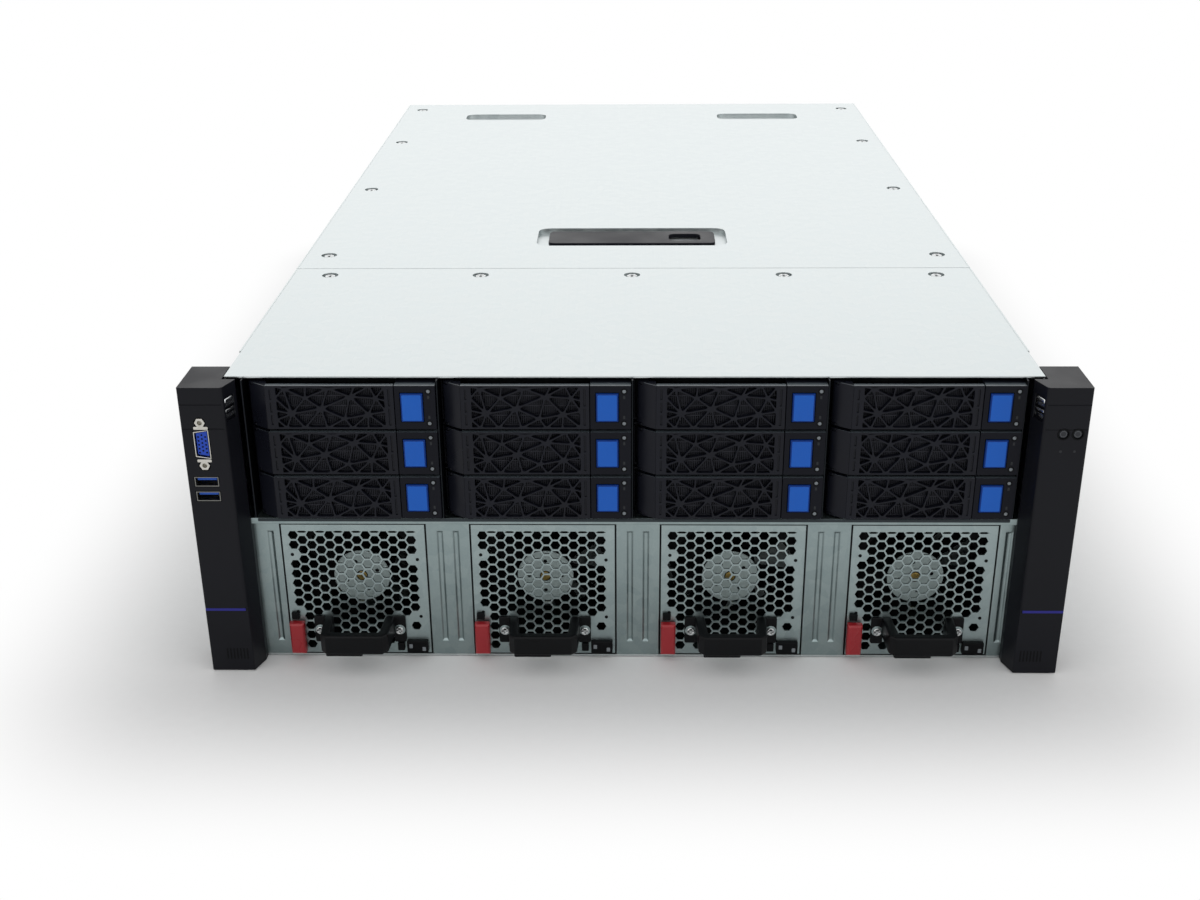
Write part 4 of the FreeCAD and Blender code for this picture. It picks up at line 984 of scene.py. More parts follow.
feet = [tile((x - 3.5, x + 3.5, FOOT_Z - 8.5, FOOT_Z + 8.5), 1.2, FOOT_DEEP, 0.4) for x in FOOT_X]
feet = [moved(f, FACING_FRONT, (0, -FOOT_DEEP, 0)) for f in feet]
foot_spots = [(x, -FOOT_DEEP - WASHER, FOOT_Z) for x in FOOT_X]
washers = row_of(disc(3.2, 24, WASHER, 0.15, 1), foot_spots, FACING_FRONT, fan_metal)
screws = row_of(cross_screw(2.4, 1.4), foot_spots, FACING_FRONT, zinc_screw)
handle = joined([dressed(joined([bail, lip] + feet), abs_handle), washers, screws])
print("fan handle:", len(handle.polygons), "faces")

# %% [markdown]
# Small parts on the plate: a status block with two windows and a smaller block beside it, the guard of
# the latch, and rivets. Boxes are given as left, right, low and high, with their corner radius and how
# far they stand out. The fan frame behind the plate comes from the CAD.

# %% Status block, latch guard and rivets
DARK_BITS = [((67.6, 80.0, 2.2, 9.6), 0.5, 3.0), ((62.2, 66.2, 3.2, 8.2), 0.5, 2.4),
             ((1.8, 6.4, 23.7, 27.9), 0.6, 2.0)]
STATUS_WINDOWS, STATUS_OUT, RIVET_IN = [(69.0, 71.0, 5.2, 7.8), (76.6, 78.6, 3.4, 6.0)], 3.2, HEX_FIRST - 1.4
dark_bits = [moved(tile(box, radius, out, 0.4), FACING_FRONT, (0, -out, 0)) for box, radius, out in DARK_BITS]
pale_bits = [moved(tile(box, 0.4, 0.5, 0.15), FACING_FRONT, (0, -STATUS_OUT, 0)) for box in STATUS_WINDOWS]
rivet_spots = [(RIVET_IN if i == 0 else FAN_WIDE - RIVET_IN, 0, hex_height(i, k))
               for i, k in sorted(RIVET_SPOTS)]
rivets = row_of(disc(1.0, 16, 0.7, 0.3, top=0.35), rivet_spots, FACING_FRONT, abs_dark)
fan_inside = []
for mesh, low, high in solids("fan_module_1"):
    if low.y > EAR_FRONT + FAN_FACE + 5.0:
        fan_inside.append(softened(mesh, 0.5) if high.x - low.x > 60 else mesh)
inside_part = moved(dressed(joined(fan_inside), abs_dark), place=-fan_home(1))
module_pattern = joined([plate, dressed(tray_wall, fan_metal), handle, rivets, inside_part,
                         dressed(joined(dark_bits + [shadow_frame]), abs_dark), dressed(joined(pale_bits), lens)])
for n in FANS:
    mesh = moved(module_pattern.copy(), place=fan_home(n))
    piece(f"fan_tray_{n}", mesh, f"fan_module_{n}", [f"fan_module_{n}"])
print("fan module:", len(module_pattern.polygons), "faces each;", len(fan_inside), "inner solids")

# %% [markdown]
# ## Fan hubs and latches
# Through the holes a pale turned disc shows: the cover of the motor hub, with four small holes and
# a brass bush in the middle. The fans stopped at different angles, so each disc has its own turn.
# The bladed rotor behind it is the CAD node itself, in fan plastic.

# %% Hub discs and red latches
HUB_FRONT, HUB_RADIUS, HUB_BORE, HUB_SHEET, PIN_CIRCLE, PIN_HOLE = 17.0, 16.3, 3.3, 0.9, 9.5, 1.15
for n, turn in zip(FANS, (0.35, 0.0, 0.62, 0.2)):
    loops = [ring(0, 0, HUB_RADIUS, 56), ring(0, 0, HUB_BORE, 24)]
    for angle in (turn + k * math.pi / 2 for k in range(4)):
        loops.append(ring(PIN_CIRCLE * math.cos(angle), PIN_CIRCLE * math.sin(angle), PIN_HOLE, 14))
    hub = dressed(moved(cut_sheet(loops, HUB_SHEET, 0.3), place=(0, 0, HUB_SHEET)), hub_paint)
    bush = dressed(disc(2.9, 24, 1.0, 0.35, top=1.2), brass)
    centre = fan_home(n) + Vector((FAN_MID, HUB_FRONT, FAN_TALL / 2))
    hub_mesh = moved(joined([hub, bush]), FACING_FRONT, centre)
    piece(f"hub_disc_{n}", hub_mesh, f"fan_rotor_{n}")
    dressed(nodes[f"fan_rotor_{n}"].data, abs_dark)
    latch_mesh = dressed(softened(solids(f"fan_latch_{n}")[0][0], 0.35), red_latch)
    piece(f"red_latch_{n}", latch_mesh, f"fan_latch_{n}", [f"fan_latch_{n}"])
print("hub disc:", len(hub_mesh.polygons), "faces; latch:", len(latch_mesh.polygons), "faces")

# %% [markdown]
# ## Rack ears
# The ears are mouldings that stand in front of the rack posts. Each has a coloured inlay across its
# front and, near the top of its slanted side, a slot in which two spring strips of the lock shine.
# Drawing them afresh could lose their fit, so they are softened copies of the CAD solids, with slits
# near the foot, the strips, and two small lamps under the round buttons.

# %% Rack ears
def finished_copy(name, node, body, choose, extra=()):
    """A node's solids, each in the finish and radius that choose gives, and more meshes, as one piece."""
    parts = []
    for mesh, low, high in solids(node):
        made, width = choose(low, high, high - low)
        if made:
            parts.append(dressed(softened(mesh, width) if width else mesh, made))
    return piece(name, joined(parts + list(extra)), body, [node])


def ear_finish(low, high, size):
    """Housing, inlay and spring strips, told apart by their size."""
    if size.z > 100:
        return abs_ear, 0.2
    return (indigo, 0.1) if size.x > 20 else (spring_steel, 0.15)


CAPS = ("power_button", "locator_button")
STRIP_TURN, STRIP_X, STRIP_Y, STRIP_PROUD, STRIP_HALF = math.radians(70.0), 216.3, 6.2, 1.1, 4.4
STRIPS = [(166.0, 1.7), (160.4, 0.9)]
SLIT_X, SLIT_STEP, SLIT_BACK, SLIT_Z = 226.0, 1.9, 0.6, 11.0
LAMP_SPOTS = [(x, EAR_FRONT, 138.7) for x in (227.5, 234.9)]
dots = row_of(disc(0.75, 14, 0.4, 0.12, top=0.12), LAMP_SPOTS, FACING_FRONT, dim_lens)
cap_middles = [(a + b) / 2 / MM for a, b in map(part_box, CAPS)]
cap_collar = disc(3.4, 32, 0.5, 0.12, 1, 0.15, bore=2.7)
collars = row_of(cap_collar, [(m.x, EAR_FRONT, m.z) for m in cap_middles], FACING_FRONT, abs_dark)
slit = moved(tile((-0.45, 0.45, -3.6, 3.6), 0.4, 0.4, 0.1, 1), place=(0, 0, 0.1))
for side, word, more in ((-1, "left", []), (1, "right", [dots, collars])):
    slit_spots = [(side * SLIT_X + SLIT_STEP * k, EAR_FRONT + SLIT_BACK, SLIT_Z) for k in range(-3, 4)]
    extra = [row_of(slit, slit_spots, FACING_FRONT, abs_dark)] + more
    aslant = Matrix.Rotation(-side * STRIP_TURN, 4, "Z") @ FACING_FRONT
    strip_x = side * (STRIP_X - STRIP_PROUD * math.sin(STRIP_TURN))
    strip_y = EAR_FRONT + STRIP_Y - STRIP_PROUD * math.cos(STRIP_TURN)
    for z, half in STRIPS:
        bulge = tile((-STRIP_HALF, STRIP_HALF, -half, half), 0.9 * half, 1.9 * half, 0.9 * half, 5)
        extra.append(dressed(moved(bulge, aslant, (strip_x, strip_y, z)), spring_steel))
    finished_copy(f"ear_moulding_{word}", f"{word}_ear", "chassis", ear_finish, extra)
print("ears:", len(STRIPS), "strips and", len(slit_spots), "slits on each")

# %% [markdown]
# The power button and the locator button are grey caps with a raised ring that guides the finger. Only
# the ring is new; the caps are softened copies, so that they still fit their bores.

# %% Round buttons
for node, middle in zip(CAPS, cap_middles):
    dish = disc(1.75, 28, 0.3, 0.1, 1, bore=1.45)
    moved(dish, FACING_FRONT, (middle.x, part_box(node)[0].y / MM - 0.12, middle.z))
    finished_copy(f"{node}_cap", node, node, lambda *box: (grey_cap, 0.1),
                  [dressed(dish, grey_part)])
print("round buttons:", len(CAPS))

# %% [markdown]
# ## Front sockets
# The left ear carries a video socket, upright, with two hexagonal standoffs, and two USB sockets.
# Shells are drawn from nickel-plated steel. The video insert has fifteen contact holes in three
# rows, and each blue USB tongue carries four gold contacts underneath. The holes are thin dark discs,
# painted shade: at this size a bored hole shows no more than its shaded black mouth.

# %% Front sockets
FACING_DOWN = Matrix.Rotation(math.radians(180), 4, "X")
SOCKET_X, VIDEO_Z, VIDEO_FACE, USB_FACE = -231.0, 142.3, 1.0, 1.5
VIDEO_ROW, VIDEO_PITCH, VIDEO_SHIFT = 1.9, 2.29, 1.1


def socket_finish(low, high, size):
    """Tongues, USB shells, the video insert and plated steel, told apart by their size."""
    if size.z < 2.5:
        return usb_blue, 0.25
    if size.x > 12:
        return tin_shell, 0.12
    return (video_blue, 0.3) if 14 < size.z < 16 else (nickel, 0.12)


flanges = [tile((SOCKET_X - 3.6, SOCKET_X + 4.2, z, z + 1.7), 0.6, 0.5, 0.12, 1) for z in (131.9, 151.0)]
flanges = [dressed(moved(f, FACING_FRONT, (0, EAR_FRONT - 0.2, 0)), nickel) for f in flanges]
contact_hole = disc(0.55, 10, 0.2)
hole_spots = [(SOCKET_X + VIDEO_ROW * (i - 1), EAR_FRONT + VIDEO_FACE - 0.05,
               VIDEO_Z + VIDEO_PITCH * (k - 2) + VIDEO_SHIFT * (i % 2 - 0.5))
              for i in range(3) for k in range(5)]
contact = tile((-0.5, 0.5, -7.0, -1.0), 0.2, 0.2, corner=1)
contact_spots = [(SOCKET_X + x, EAR_FRONT + USB_FACE, z - 0.05)
                 for x in (-3.5, -1.0, 1.0, 3.5) for z in (120.5, 111.7)]
finished_copy("front_socket_group", "front_ports", "chassis", socket_finish,
              flanges + [row_of(contact_hole, hole_spots, FACING_FRONT, abs_dark),
                         row_of(contact, contact_spots, FACING_DOWN, gold)])
print("sockets:", len(hole_spots), "video contacts,", len(contact_spots), "USB contacts")

# %% [markdown]
# ## Drive cage
# Shelf, uprights and the beaded dividers between the fans are folded from galvanised sheet. A press
# leaves folds and beads with a soft radius, and that line of light is what shows them. The CAD keeps
# the beads as raised ribs; here they are turned inward, because the photo lights them as grooves.
# A dark strip lies along the shelf's front edge, under the carriers: painted shadow of the carriers.

# %% Drive cage
DIVIDER_FACE = (EAR_FRONT + FAN_FACE) * MM
SHADOW_STRIP_HALF, SHADOW_STRIP_LOW, SHADOW_STRIP_HIGH, SHADOW_STRIP_THICK, SHELF_FACE = 209.0, 89.8, 91.7, 0.4, 13.0


def pressed_in(mesh):
    """Turn what stands proud of a divider's face into a groove of the same outline."""
    for vertex in mesh.vertices:
        vertex.co.y = max(vertex.co.y, 2 * DIVIDER_FACE - vertex.co.y)
    return mesh


parts = []
# The thin uprights take the dark steel, much darker than the rest of the cage.
for mesh, low, high in solids("front_cage"):
    if high.x - low.x < 5:
        parts.append(dressed(softened(mesh, 0.15), dark_upright_steel))
    else:
        parts.append(dressed(softened(pressed_in(mesh) if low.z < 5 else mesh, 0.4), cage_metal))
# The strip is painted shadow: dark where the carriers shade the shelf's edge.
shadow_strip = tile((-SHADOW_STRIP_HALF, SHADOW_STRIP_HALF, SHADOW_STRIP_LOW, SHADOW_STRIP_HIGH), 0.4, SHADOW_STRIP_THICK, 0.15, 1)
moved(shadow_strip, FACING_FRONT, (0, EAR_FRONT + SHELF_FACE - SHADOW_STRIP_THICK, 0))
parts.append(dressed(shadow_strip, shadow_strip_paint))
piece("drive_cage", joined(parts), "chassis", ["front_cage"])
print("cage:", len(parts), "parts with the seal")

# %% [markdown]
# ## Top cover
# A fixed panel spans the carriers and a lid covers the rest. Both are flat sheets with dimples for
# countersunk screws; the lid has a pocket for its locking handle. A pocket is a hole in the sheet
# with a wall and a floor pressed below it, so nothing stands above the cover.

# %% Top cover
COVER_TOP, COVER_SHEET, COVER_HALF = 175.0, 1.0, 220.0
PANEL_FRONT, PANEL_REAR, LID_FRONT, LID_REAR = (EAR_FRONT + d for d in (17.0, 212.0, 212.6, 763.0))
DIMPLE, DIMPLE_DEEP, POCKET_DEEP, POCKET_ROUND, POCKET_WALL, SKIN, LAP = 5.2, 1.3, 2.6, 9.0, 0.8, 0.04, 0.1
PANEL_SCREWS = [(x, PANEL_REAR - 14.0) for x in (-196.0, -98.0, 0.0, 98.0, 196.0)]
LID_SCREWS = [(x, y) for x in (-205.0, 205.0) for y in (-150.0, 30.0, 200.0, 345.0)]
HANDLE_POCKET = (-66.0, 66.0, -128.0, -84.0)
HANDLE, FINGER_HOLE = (-58.0, 58.0, -121.0, -91.0), (26.0, 48.0, -114.0, -98.0)
HANDLE_DEEP, HANDLE_SUNK = 2.6, 0.4
GRIP_POCKETS = [(x - 38.0, x + 38.0, 296.0, 322.0) for x in (-120.0, 120.0)]


def box_loop(box, radius, grow=0.0):
    """The rounded outline of a box, grown on all sides."""
    x0, x1, y0, y1 = box
    return rounded(rectangle(x0 - grow, x1 + grow, y0 - grow, y1 + grow), radius + grow, 5)


def sunk(inner, outer, deep):
    """Wall and floor of a pocket under the cover sheet."""
    wall = cut_sheet([outer, inner], deep)
    floor_plate = cut_sheet([outer], POCKET_WALL)
    under = COVER_TOP - COVER_SHEET
    return [moved(wall, place=(0, 0, under)), moved(floor_plate, place=(0, 0, under - deep + LAP))]


parts, panel_holes, lid_holes = [], [], []
for spots, holes in ((PANEL_SCREWS, panel_holes), (LID_SCREWS, lid_holes)):
    for x, y in spots:
        hole, inner, outer = (ring(x, y, DIMPLE + grow, 28) for grow in (0.0, SKIN, POCKET_WALL))
        holes.append(hole)
        parts += sunk(inner, outer, DIMPLE_DEEP)
for box in [HANDLE_POCKET] + GRIP_POCKETS:
    hole, inner, outer = (box_loop(box, POCKET_ROUND, grow) for grow in (0.0, SKIN, POCKET_WALL))
    lid_holes.append(hole)
    parts += sunk(inner, outer, POCKET_DEEP)
for y0, y1, holes in ((PANEL_FRONT, PANEL_REAR, panel_holes), (LID_FRONT, LID_REAR, lid_holes)):
    sheet = cut_sheet([rectangle(-COVER_HALF, COVER_HALF, y0, y1)] + holes, COVER_SHEET, 0.2, 1)
    parts.append(moved(sheet, place=(0, 0, COVER_TOP)))
metal = dressed(joined(parts), galvanised)
handle_plate = cut_sheet([box_loop(box, 5.0) for box in (HANDLE, FINGER_HOLE)], HANDLE_DEEP, 0.5)
moved(handle_plate, place=(0, 0, COVER_TOP - HANDLE_SUNK))
screw_floor = COVER_TOP - COVER_SHEET - DIMPLE_DEEP
screw_spots = [(x, y, screw_floor) for x, y in PANEL_SCREWS + LID_SCREWS]
cover_screws = row_of(cross_screw(3.4, 1.8), screw_spots, FACING_UP, zinc_screw)
finished_copy("cover_sheets", "top_cover", "chassis",
              lambda low, high, size: (galvanised, 0.2) if size.x < 5 else (None, 0),
              [metal, dressed(handle_plate, abs_black), cover_screws])
print("cover:", len(screw_spots), "screws")

# %% [markdown]
# ## Chassis tub
# The tub is a floor, two side walls and a rear wall, riveted together. On a real chassis the walls
# carry pressed beads that stop the sheet drumming, and mushroom studs that hang on the slide rails.
# The expansion slots are closed by perforated covers, each held by a screw. The CAD has plain covers
# there, which are left out in favour of punched ones; all that repeats is set out by the tree.

# %% Chassis tub
SIDE, WALL_REAR = 220.0, EAR_FRONT + 763.0
STUD_LENGTH, STUD_Z, STUD_Y = 4.5, 88.0, [EAR_FRONT + d for d in (120.0, 400.0, 680.0)]
SLOT_X = [-30.0 - 20.32 * i for i in range(7)]
SLOT_LOW, SLOT_HIGH, SLOT_WIDE, SLOT_SHEET, SLOT_SUNK = 56.0, 169.0, 19.3, 1.0, 1.2
BEAD_Y, BEAD_Z, BEAD_PROUD, RIVET_Z, RIVET_PROUD = (-215.0, 0.0, 215.0), (42.0, 132.0), 1.1, (9.0, 156.0), 0.8
RIVET_Y = [-330.0 + 66.0 * k for k in range(11)]
bead = tile((-88, 88, -5.5, 5.5), 5.4, 1.6, 1.2, 3, corner=6)
side_rivet = disc(2.6, 18, 1.6, 0.8)
stud_head = disc(5.2, 28, 1.8, 0.5)
tub_parts = []
for side, facing in ((1, FACING_RIGHT), (-1, FACING_LEFT)):
    for part, out, along, heights, made in (
            (bead, BEAD_PROUD, BEAD_Y, BEAD_Z, galvanised),
            (side_rivet, RIVET_PROUD, RIVET_Y, RIVET_Z, zinc_screw),
            (stud_head, STUD_LENGTH + 0.9, STUD_Y, [STUD_Z], zinc_screw)):
        spots = [(side * (SIDE + out), y, z) for y in along for z in heights]
        tub_parts.append(row_of(part, spots, facing, made))

slot_holes = []
for k in range(23):
    slot_holes += [(x, (k - 11) * 4.1) for x in ((-4.2, 0.0, 4.2) if k % 2 else (-2.1, 2.1))]
slot_cover = perforated(slot_holes, SLOT_WIDE, SLOT_HIGH - SLOT_LOW, SLOT_SHEET, 6, (3.5, 3.5), galvanised)
slot_spots = [(x, WALL_REAR - SLOT_SUNK, (SLOT_LOW + SLOT_HIGH) / 2) for x in SLOT_X]
tub_parts.append(row_of(slot_cover, slot_spots, FACING_REAR, galvanised))
wall_screws = [(x, WALL_REAR, 171.0) for x in SLOT_X]
wall_screws += [(x, WALL_REAR, z) for x in (-212.0, 216.0) for z in (48.0, 100.0, 165.0)]
tub_parts.append(row_of(cross_screw(2.2, 1.5), wall_screws, FACING_REAR, zinc_screw))


def tub_finish(low, high, size):
    """The plain slot covers go, for the perforated ones; studs are plated and the rest is sheet."""
    if size.x < 25 and size.z > 100 and size.y < 5:
        return None, 0
    if size.z < 10 and size.y < 10:
        return zinc_screw, 0.4
    return galvanised, 0.2


finished_copy("tub_sheets", "chassis_tub", "chassis", tub_finish, tub_parts)
print("tub:", len(slot_holes), "holes in each of", len(SLOT_X), "slot covers")

# %% [markdown]
# ## Boards and rear sockets
# The boards carry black connectors, brass standoffs and a row of sockets that reaches through the
# rear wall: two network sockets, a pair of USB sockets and a video socket. A socket's face is a
# plated frame round its opening, a dark floor, and its contacts.

# %% Outlines of the rear sockets
REAR_FACE = EAR_FRONT + 763.5
REAR_SOCKETS = {"net_a": (-190.0, -174.0, 8.8, 22.3), "net_b": (-170.0, -154.0, 8.8, 22.3),
                "usb": (-146.0, -132.9, 8.8, 24.3), "video": (-120.0, -89.0, 8.8, 21.3)}
FRAME_DEEP, NET_PITCH, USB_APART, POST_LONG = 2.4, 1.02, 3.7, 4.0
NET_OPENING = [(-5.9, -4.6), (5.9, -4.6), (5.9, 2.0), (3.1, 2.0), (3.1, 3.6), (1.6, 3.6), (1.6, 5.0),
               (-1.6, 5.0), (-1.6, 3.6), (-3.1, 3.6), (-3.1, 2.0), (-5.9, 2.0)]
VIDEO_OPENING = [(-8.2, 3.9), (-7.2, -3.9), (7.2, -3.9), (8.2, 3.9)]


def seen_from_rear(points):
    """Outlines are drawn as seen from the front; from behind, left and right change places."""
    return [(-x, z) for x, z in points]


def at_rear(mesh, made, out):
    """A sheet drawn by seen_from_rear, put out millimetres behind the sockets' faces."""
    return dressed(moved(mesh, FACING_REAR, (0, REAR_FACE + out, 0)), made)


net_pin = tile((-0.25, 0.25, -2.2, 2.2), 0.1, 0.4, corner=1)
usb_tongue = tile((-4.6, 4.6, 0.1, 1.7), 0.3, 1.6, 0.2, 1)
hex_post = cut_sheet([ring(0, 0, 2.9, 6), ring(0, 0, 1.3, 12)], POST_LONG, 0.3, 1)
print("rear sockets:", list(REAR_SOCKETS))

# %% [markdown]
# Each kind of socket adds its own openings and contacts. The frame round the openings and the dark floor
# behind them are the same for all, so they come at the end of the loop.

# %% Boards and rear sockets
# The rear video contact holes are dark discs too: painted shade of the holes.
rear_parts = []
for name, (x0, x1, z0, z1) in REAR_SOCKETS.items():
    x, z = (x0 + x1) / 2, (z0 + z1) / 2
    edge = rounded(rectangle(x0, x1, z0, z1), 0.8)
    if name.startswith("net"):
        openings = [[(x + a, z + b) for a, b in NET_OPENING]]
        pin_spots = [(x + NET_PITCH * (k - 3.5), REAR_FACE + 0.6, z - 2.2) for k in range(8)]
        rear_parts.append(row_of(net_pin, pin_spots, FACING_REAR, gold))
    elif name == "usb":
        levels = (z - USB_APART, z + USB_APART)
        openings = [rounded(rectangle(x - 5.9, x + 5.9, s - 2.3, s + 2.3), 0.5) for s in levels]
        tongue_spots = [(x, REAR_FACE + 1.8, s) for s in levels]
        rear_parts.append(row_of(usb_tongue, tongue_spots, FACING_REAR, usb_blue))
    else:
        openings = [rounded([(x + a, z + b) for a, b in VIDEO_OPENING], 1.6)]
        insert = rounded([(x + a * 0.88, z + b * 0.84) for a, b in VIDEO_OPENING], 1.3)
        rear_parts.append(at_rear(cut_sheet([seen_from_rear(insert)], 1.4, 0.2, 1), video_blue, 1.6))
        video_spots = [(x + VIDEO_PITCH * (k - 2) + VIDEO_SHIFT * (i % 2 - 0.5), REAR_FACE + 1.65,
                        z + 1.98 * (i - 1)) for i in range(3) for k in range(5)]
        rear_parts.append(row_of(contact_hole, video_spots, FACING_REAR, abs_dark))
        post_spots = [(x + s, REAR_FACE + FRAME_DEEP + POST_LONG, z) for s in (-12.5, 12.5)]
        rear_parts.append(row_of(hex_post, post_spots, FACING_REAR, nickel))
    socket_frame = cut_sheet([seen_from_rear(loop) for loop in [edge] + openings], FRAME_DEEP, 0.3, 1)
    rear_parts.append(at_rear(socket_frame, nickel, FRAME_DEEP))
    rear_parts.append(at_rear(cut_sheet([seen_from_rear(edge)], 0.4), abs_dark, 0.2))


def board_finish(low, high, size):
    """Rear sockets, standoffs, connectors and boards, told apart by place and size."""
    if high.y > WALL_REAR:
        return nickel, 0.2
    if size.x < 10 and size.z < 10:
        return brass, 0.0
    return (abs_dark, 0.3) if size.x < 60 else (board_green, 0.0)


finished_copy("boards_and_sockets", "circuit_boards", "chassis", board_finish, rear_parts)
print("rear sockets:", len(rear_parts), "meshes added to the boards")

# %% [markdown]
# Memory modules are small boards with nine chips on each side. They stand beside two heatsinks, whose
# fins are left as sharp as they leave the extrusion tool, on a plated base.

# %% Cooling and memory
CHIPS, CHIP_FIRST, CHIP_STEP, CHIP_Z, CHIP_PROUD, MODULE_THICK = 9, 10.0, 13.4, 17.0, 0.9, 6.0


def cooling_finish(low, high, size):
    """Memory boards, plated bases and fins, told apart by their size."""
    if size.x < MODULE_THICK:
        return board_green, 0.2
    return (nickel, 0.4) if size.z < 10 else (fins, 0.0)


chip = tile((-5.5, 5.5, -4.0, 4.0), 0.4, 1.0, 0.15, 1, corner=1)
chips = []
for mesh, low, high in solids("heatsinks_and_memory"):
    if high.x - low.x < MODULE_THICK:
        spots = [(low.y + CHIP_FIRST + CHIP_STEP * k, low.z + CHIP_Z) for k in range(CHIPS)]
        for x, facing in ((high.x + CHIP_PROUD, FACING_RIGHT), (low.x - CHIP_PROUD, FACING_LEFT)):
            chips.append(row_of(chip, [(x, y, z) for y, z in spots], facing, abs_dark))
finished_copy("cooling_and_memory", "heatsinks_and_memory", "chassis",
              cooling_finish, chips)
print("memory chips:", CHIPS * len(chips))

# %% [markdown]
# ## Power supplies
# Each supply is a plated steel box that slides in from the rear, with a black pull handle and a mains
# inlet. The inlet is a moulded cup with two cut corners and three brass blades. A lever tab beside it
# frees the supply, and a small lamp shows that it runs. The CAD gives case, handle and blades; the cup
# is a deep sheet with a hole, closed by a floor.

# %% Power supplies
INLET_X, INLET_Z, INLET_DEEP = 53.5, 19.75, 15.6
VENT_X, VENT_WIDE, VENT_TALL, VENT_STEP = 20.0, 37.0, 36.0, 4.0
VENT_FEET, VENT_FEET_TALL = [(-17.5, -10.5), (10.0, 17.5)], 11.5
CUP_HALF, CUP_TALL = 13.8, 10.3
CUP_MOUTH = [(-12, -8), (12, -8), (12, 3.5), (7.5, 8), (-7.5, 8), (-12, 3.5)]
TAB_X, TAB_WIDE, TAB_OUT, LAMP_X, LAMP_Z = 69.0, 3.2, 7.0, 70.6, 35.0
vent_holes = [((c - 4) * VENT_STEP + (r % 2) * VENT_STEP / 2, (r - 4.5) * VENT_STEP * 0.866)
              for r in range(10) for c in range(9 - r % 2)]
vent_holes = [(x, z) for x, z in vent_holes
              if abs(z) > VENT_FEET_TALL or all(not a < x < b for a, b in VENT_FEET)]
vent = perforated(vent_holes, VENT_WIDE, VENT_TALL, 0.7, 6, (3.3, 3.3), galvanised)
vent_back = cut_sheet([rectangle(-VENT_WIDE / 2, VENT_WIDE / 2, -VENT_TALL / 2, VENT_TALL / 2)], 0.3)


def supply_finish(low, high, size):
    """Case, handle and mains blades, told apart by their width."""
    if size.x > 60:
        return galvanised, 0.25
    return (abs_handle, 1.2) if size.x > 20 else (brass, 0.3)


for n in (1, 2):
    node = f"power_supply_{n}"
    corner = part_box(node)[0] / MM
    x, z = corner.x + INLET_X, corner.z + INLET_Z
    mouth = [(x + a, z + b) for a, b in CUP_MOUTH]
    cup_edge = rounded(rectangle(x - CUP_HALF, x + CUP_HALF, z - CUP_TALL, z + CUP_TALL), 0.6)
    cup = cut_sheet([seen_from_rear(cup_edge), seen_from_rear(rounded(mouth, 1.2))], INLET_DEEP, 0.3, 1)
    moved(cup, FACING_REAR, (0, WALL_REAR - 0.1, 0))
    cup_floor = moved(cut_sheet([seen_from_rear(cup_edge)], 0.3), FACING_REAR, (0, WALL_REAR - INLET_DEEP, 0))
    tab_left = corner.x + TAB_X
    tab_edge = rounded(rectangle(tab_left, tab_left + TAB_WIDE, z - 9, z + 5), 0.9)
    tab = cut_sheet([seen_from_rear(tab_edge)], TAB_OUT, 0.7)
    moved(tab, FACING_REAR, (0, WALL_REAR + TAB_OUT, 0))
    lamp_lens = disc(1.3, 18, 0.8, 0.25)
    moved(lamp_lens, FACING_REAR, (corner.x + LAMP_X, WALL_REAR + 0.5, corner.z + LAMP_Z))
    grid = moved(vent.copy(), FACING_REAR, (corner.x + VENT_X, WALL_REAR + 1.0, z))
    dark = moved(vent_back.copy(), FACING_REAR, (corner.x + VENT_X, WALL_REAR + 0.3, z))
    finished_copy(f"supply_{n}", node, node, supply_finish,
                  [dressed(joined([cup, cup_floor, dark]), abs_dark), dressed(tab, red_latch),
                   dressed(lamp_lens, lens), grid])
print("power supplies: vents of", len(vent_holes), "holes")

# %% [markdown]
# ## Floor and light
# A photographer would put the server on a white sweep under large soft boxes. The world is the
# room's bounce. A wide box stands behind and draws a bright band along the top edges, and two in
# front fill the black plastic. The floor keeps the shadow near the server and fades to plain white
# farther out.

# %% Floor
def ray_shown(tree):
    """1 for the rays that look at the background: camera, glossy and transmission rays."""
    path = add(tree, "ShaderNodeLightPath").outputs
    seen = add(tree, "ShaderNodeMath", {0: path["Is Camera Ray"], 1: path["Is Glossy Ray"]},
               operation="MAXIMUM")
    return add(tree, "ShaderNodeMath", {0: seen.outputs[0], 1: path["Is Transmission Ray"]},
               operation="MAXIMUM").outputs[0]


FLOOR_HALF, FLOOR_BELOW, FADE_TO = 12.0, 0.0005, 0.16
floor = bpy.data.objects.new("studio_floor", bpy.data.meshes.new("studio_floor"))
scene.collection.objects.link(floor)
corners = rectangle(-FLOOR_HALF, FLOOR_HALF, -FLOOR_HALF, FLOOR_HALF)
floor.data.from_pydata([(x, y, 0.0) for x, y in corners], [], [(0, 1, 2, 3)])
floor.location.z = -FLOOR_BELOW
sweep, tree, shader, place = finish("studio_paper_white", Roughness=0.9)
fibres = add(tree, "ShaderNodeTexNoise", {"Vector": place, "Scale": per_mm(6.0)})
tint = add(tree, "ShaderNodeMix", {0: fibres.outputs["Fac"], 6: colour("#f4f4f4"), 7: colour("#f8f8f8")},
           data_type="RGBA")
tree.links.new(tint.outputs[2], shader.inputs["Base Color"])
either_side = add(tree, "ShaderNodeVectorMath", {0: place}, operation="ABSOLUTE")
beyond = add(tree, "ShaderNodeVectorMath", {0: either_side.outputs[0], 1: (cad_high[0], cad_high[1], 0.0)},
             operation="SUBTRACT")
outside = add(tree, "ShaderNodeVectorMath", {0: beyond.outputs[0], 1: (0, 0, 0)}, operation="MAXIMUM")
distance = add(tree, "ShaderNodeVectorMath", {0: outside.outputs[0]}, operation="LENGTH")
fade = add(tree, "ShaderNodeMapRange", {"Value": distance.outputs["Value"], "From Max": FADE_TO},
           interpolation_type="SMOOTHSTEP")
whiteness = add(tree, "ShaderNodeMath", {0: fade.outputs[0], 1: ray_shown(tree)}, operation="MULTIPLY")
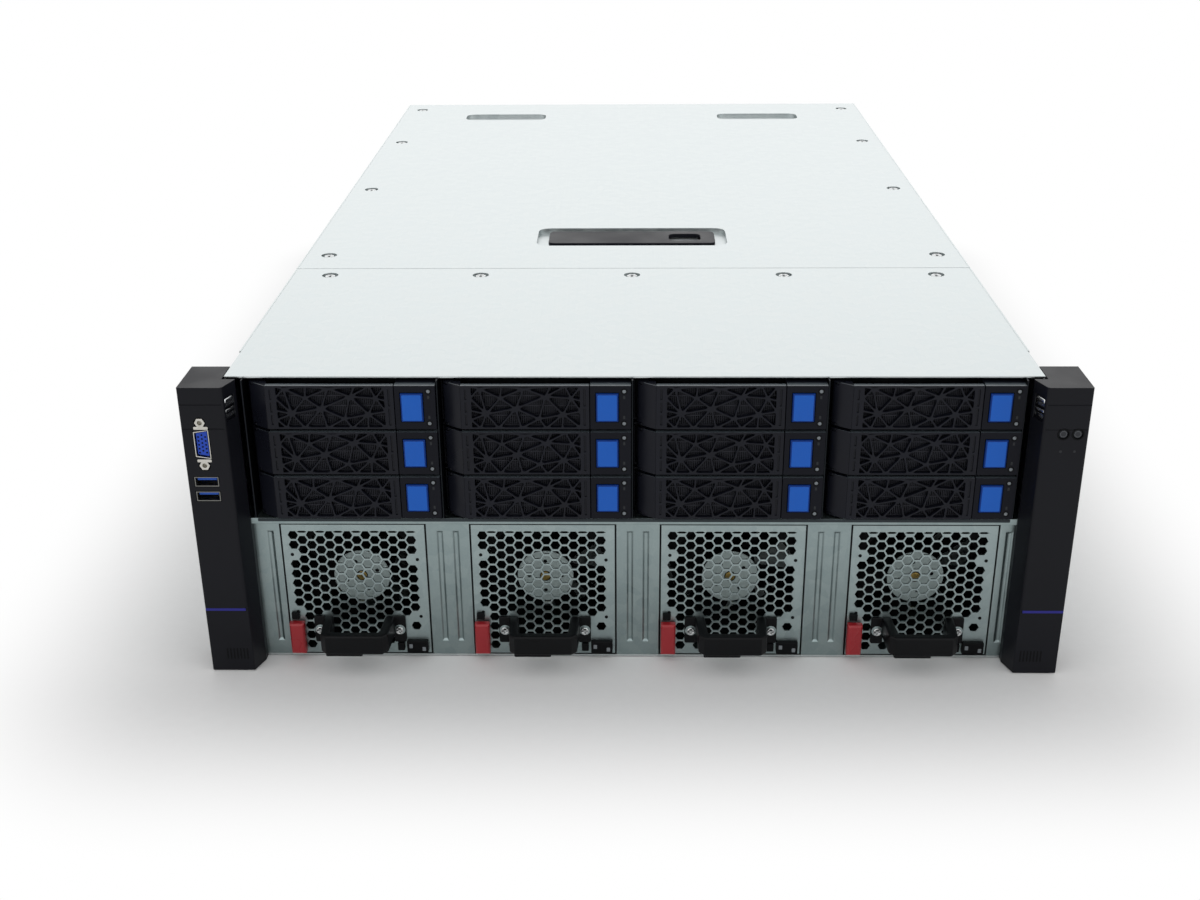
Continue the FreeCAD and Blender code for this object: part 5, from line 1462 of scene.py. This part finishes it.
glow = add(tree, "ShaderNodeEmission", {"Strength": 1.0})
paper = add(tree, "ShaderNodeMixShader", {0: whiteness.outputs[0], 1: shader.outputs[0], 2: glow.outputs[0]})
ending = next(n for n in tree.nodes if n.type == "OUTPUT_MATERIAL")
tree.links.new(paper.outputs[0], ending.inputs["Surface"])
floor.data.materials.append(sweep)
floor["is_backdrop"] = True
print("floor:", 2 * FLOOR_HALF, "m wide, plain white from", FADE_TO, "m beyond the server")

# %% [markdown]
# The world has two strengths: the room that lights the server, and the plain white that the camera and
# reflections see. More light on the server would whiten the background too, but bleach the metal.

# %% World
ROOM_LIGHT, WHITE = 0.5, (1, 1, 1, 1)
world = bpy.data.worlds.new("studio")
scene.world = world
world.use_nodes = True
tree = world.node_tree
tree.nodes.clear()
room = add(tree, "ShaderNodeBackground", {"Color": WHITE, "Strength": ROOM_LIGHT})
backdrop = add(tree, "ShaderNodeBackground", {"Color": WHITE, "Strength": 1.0})
both = add(tree, "ShaderNodeMixShader", {0: ray_shown(tree), 1: room.outputs[0], 2: backdrop.outputs[0]})
add(tree, "ShaderNodeOutputWorld", {"Surface": both.outputs[0]})
print("room light:", ROOM_LIGHT)

# %% [markdown]
# Three soft boxes. Small lamps would put hot spots on the cover, so the boxes are metres wide and weak.

# %% Lamps
def lamp(name, place, target, size, power):
    """A rectangular soft box that faces a target (metres, watts)."""
    made = bpy.data.objects.new(name, bpy.data.lights.new(name, "AREA"))
    scene.collection.objects.link(made)
    made.data.shape = "RECTANGLE"
    made.data.size, made.data.size_y = size
    made.data.energy = power
    made.visible_camera = False
    aim = Vector(target) - Vector(place)
    made.matrix_world = Matrix.Translation(place) @ aim.to_track_quat("-Z", "Y").to_matrix().to_4x4()


lamp("softbox_behind", (0.0, 1.9, 1.0), (0.0, -0.3, 0.17), (3.0, 1.2), 7.0)
lamp("softbox_left", (-1.5, -1.8, 1.5), (0.0, -0.4, 0.08), (3.2, 2.6), 12.4)
lamp("softbox_right", (1.8, -1.5, 1.4), (0.1, -0.4, 0.08), (3.2, 2.6), 12.4)
scene.view_settings.view_transform = "Standard"

# %% [markdown]
# ## Sizes
# Both boxes are printed: the CAD model's at the start, the finished pieces' here. The pieces have
# to stay inside the CAD model's box.

# %% Sizes and the end
low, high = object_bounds()
print("visual box", [round(v, 4) for v in low], [round(v, 4) for v in high])
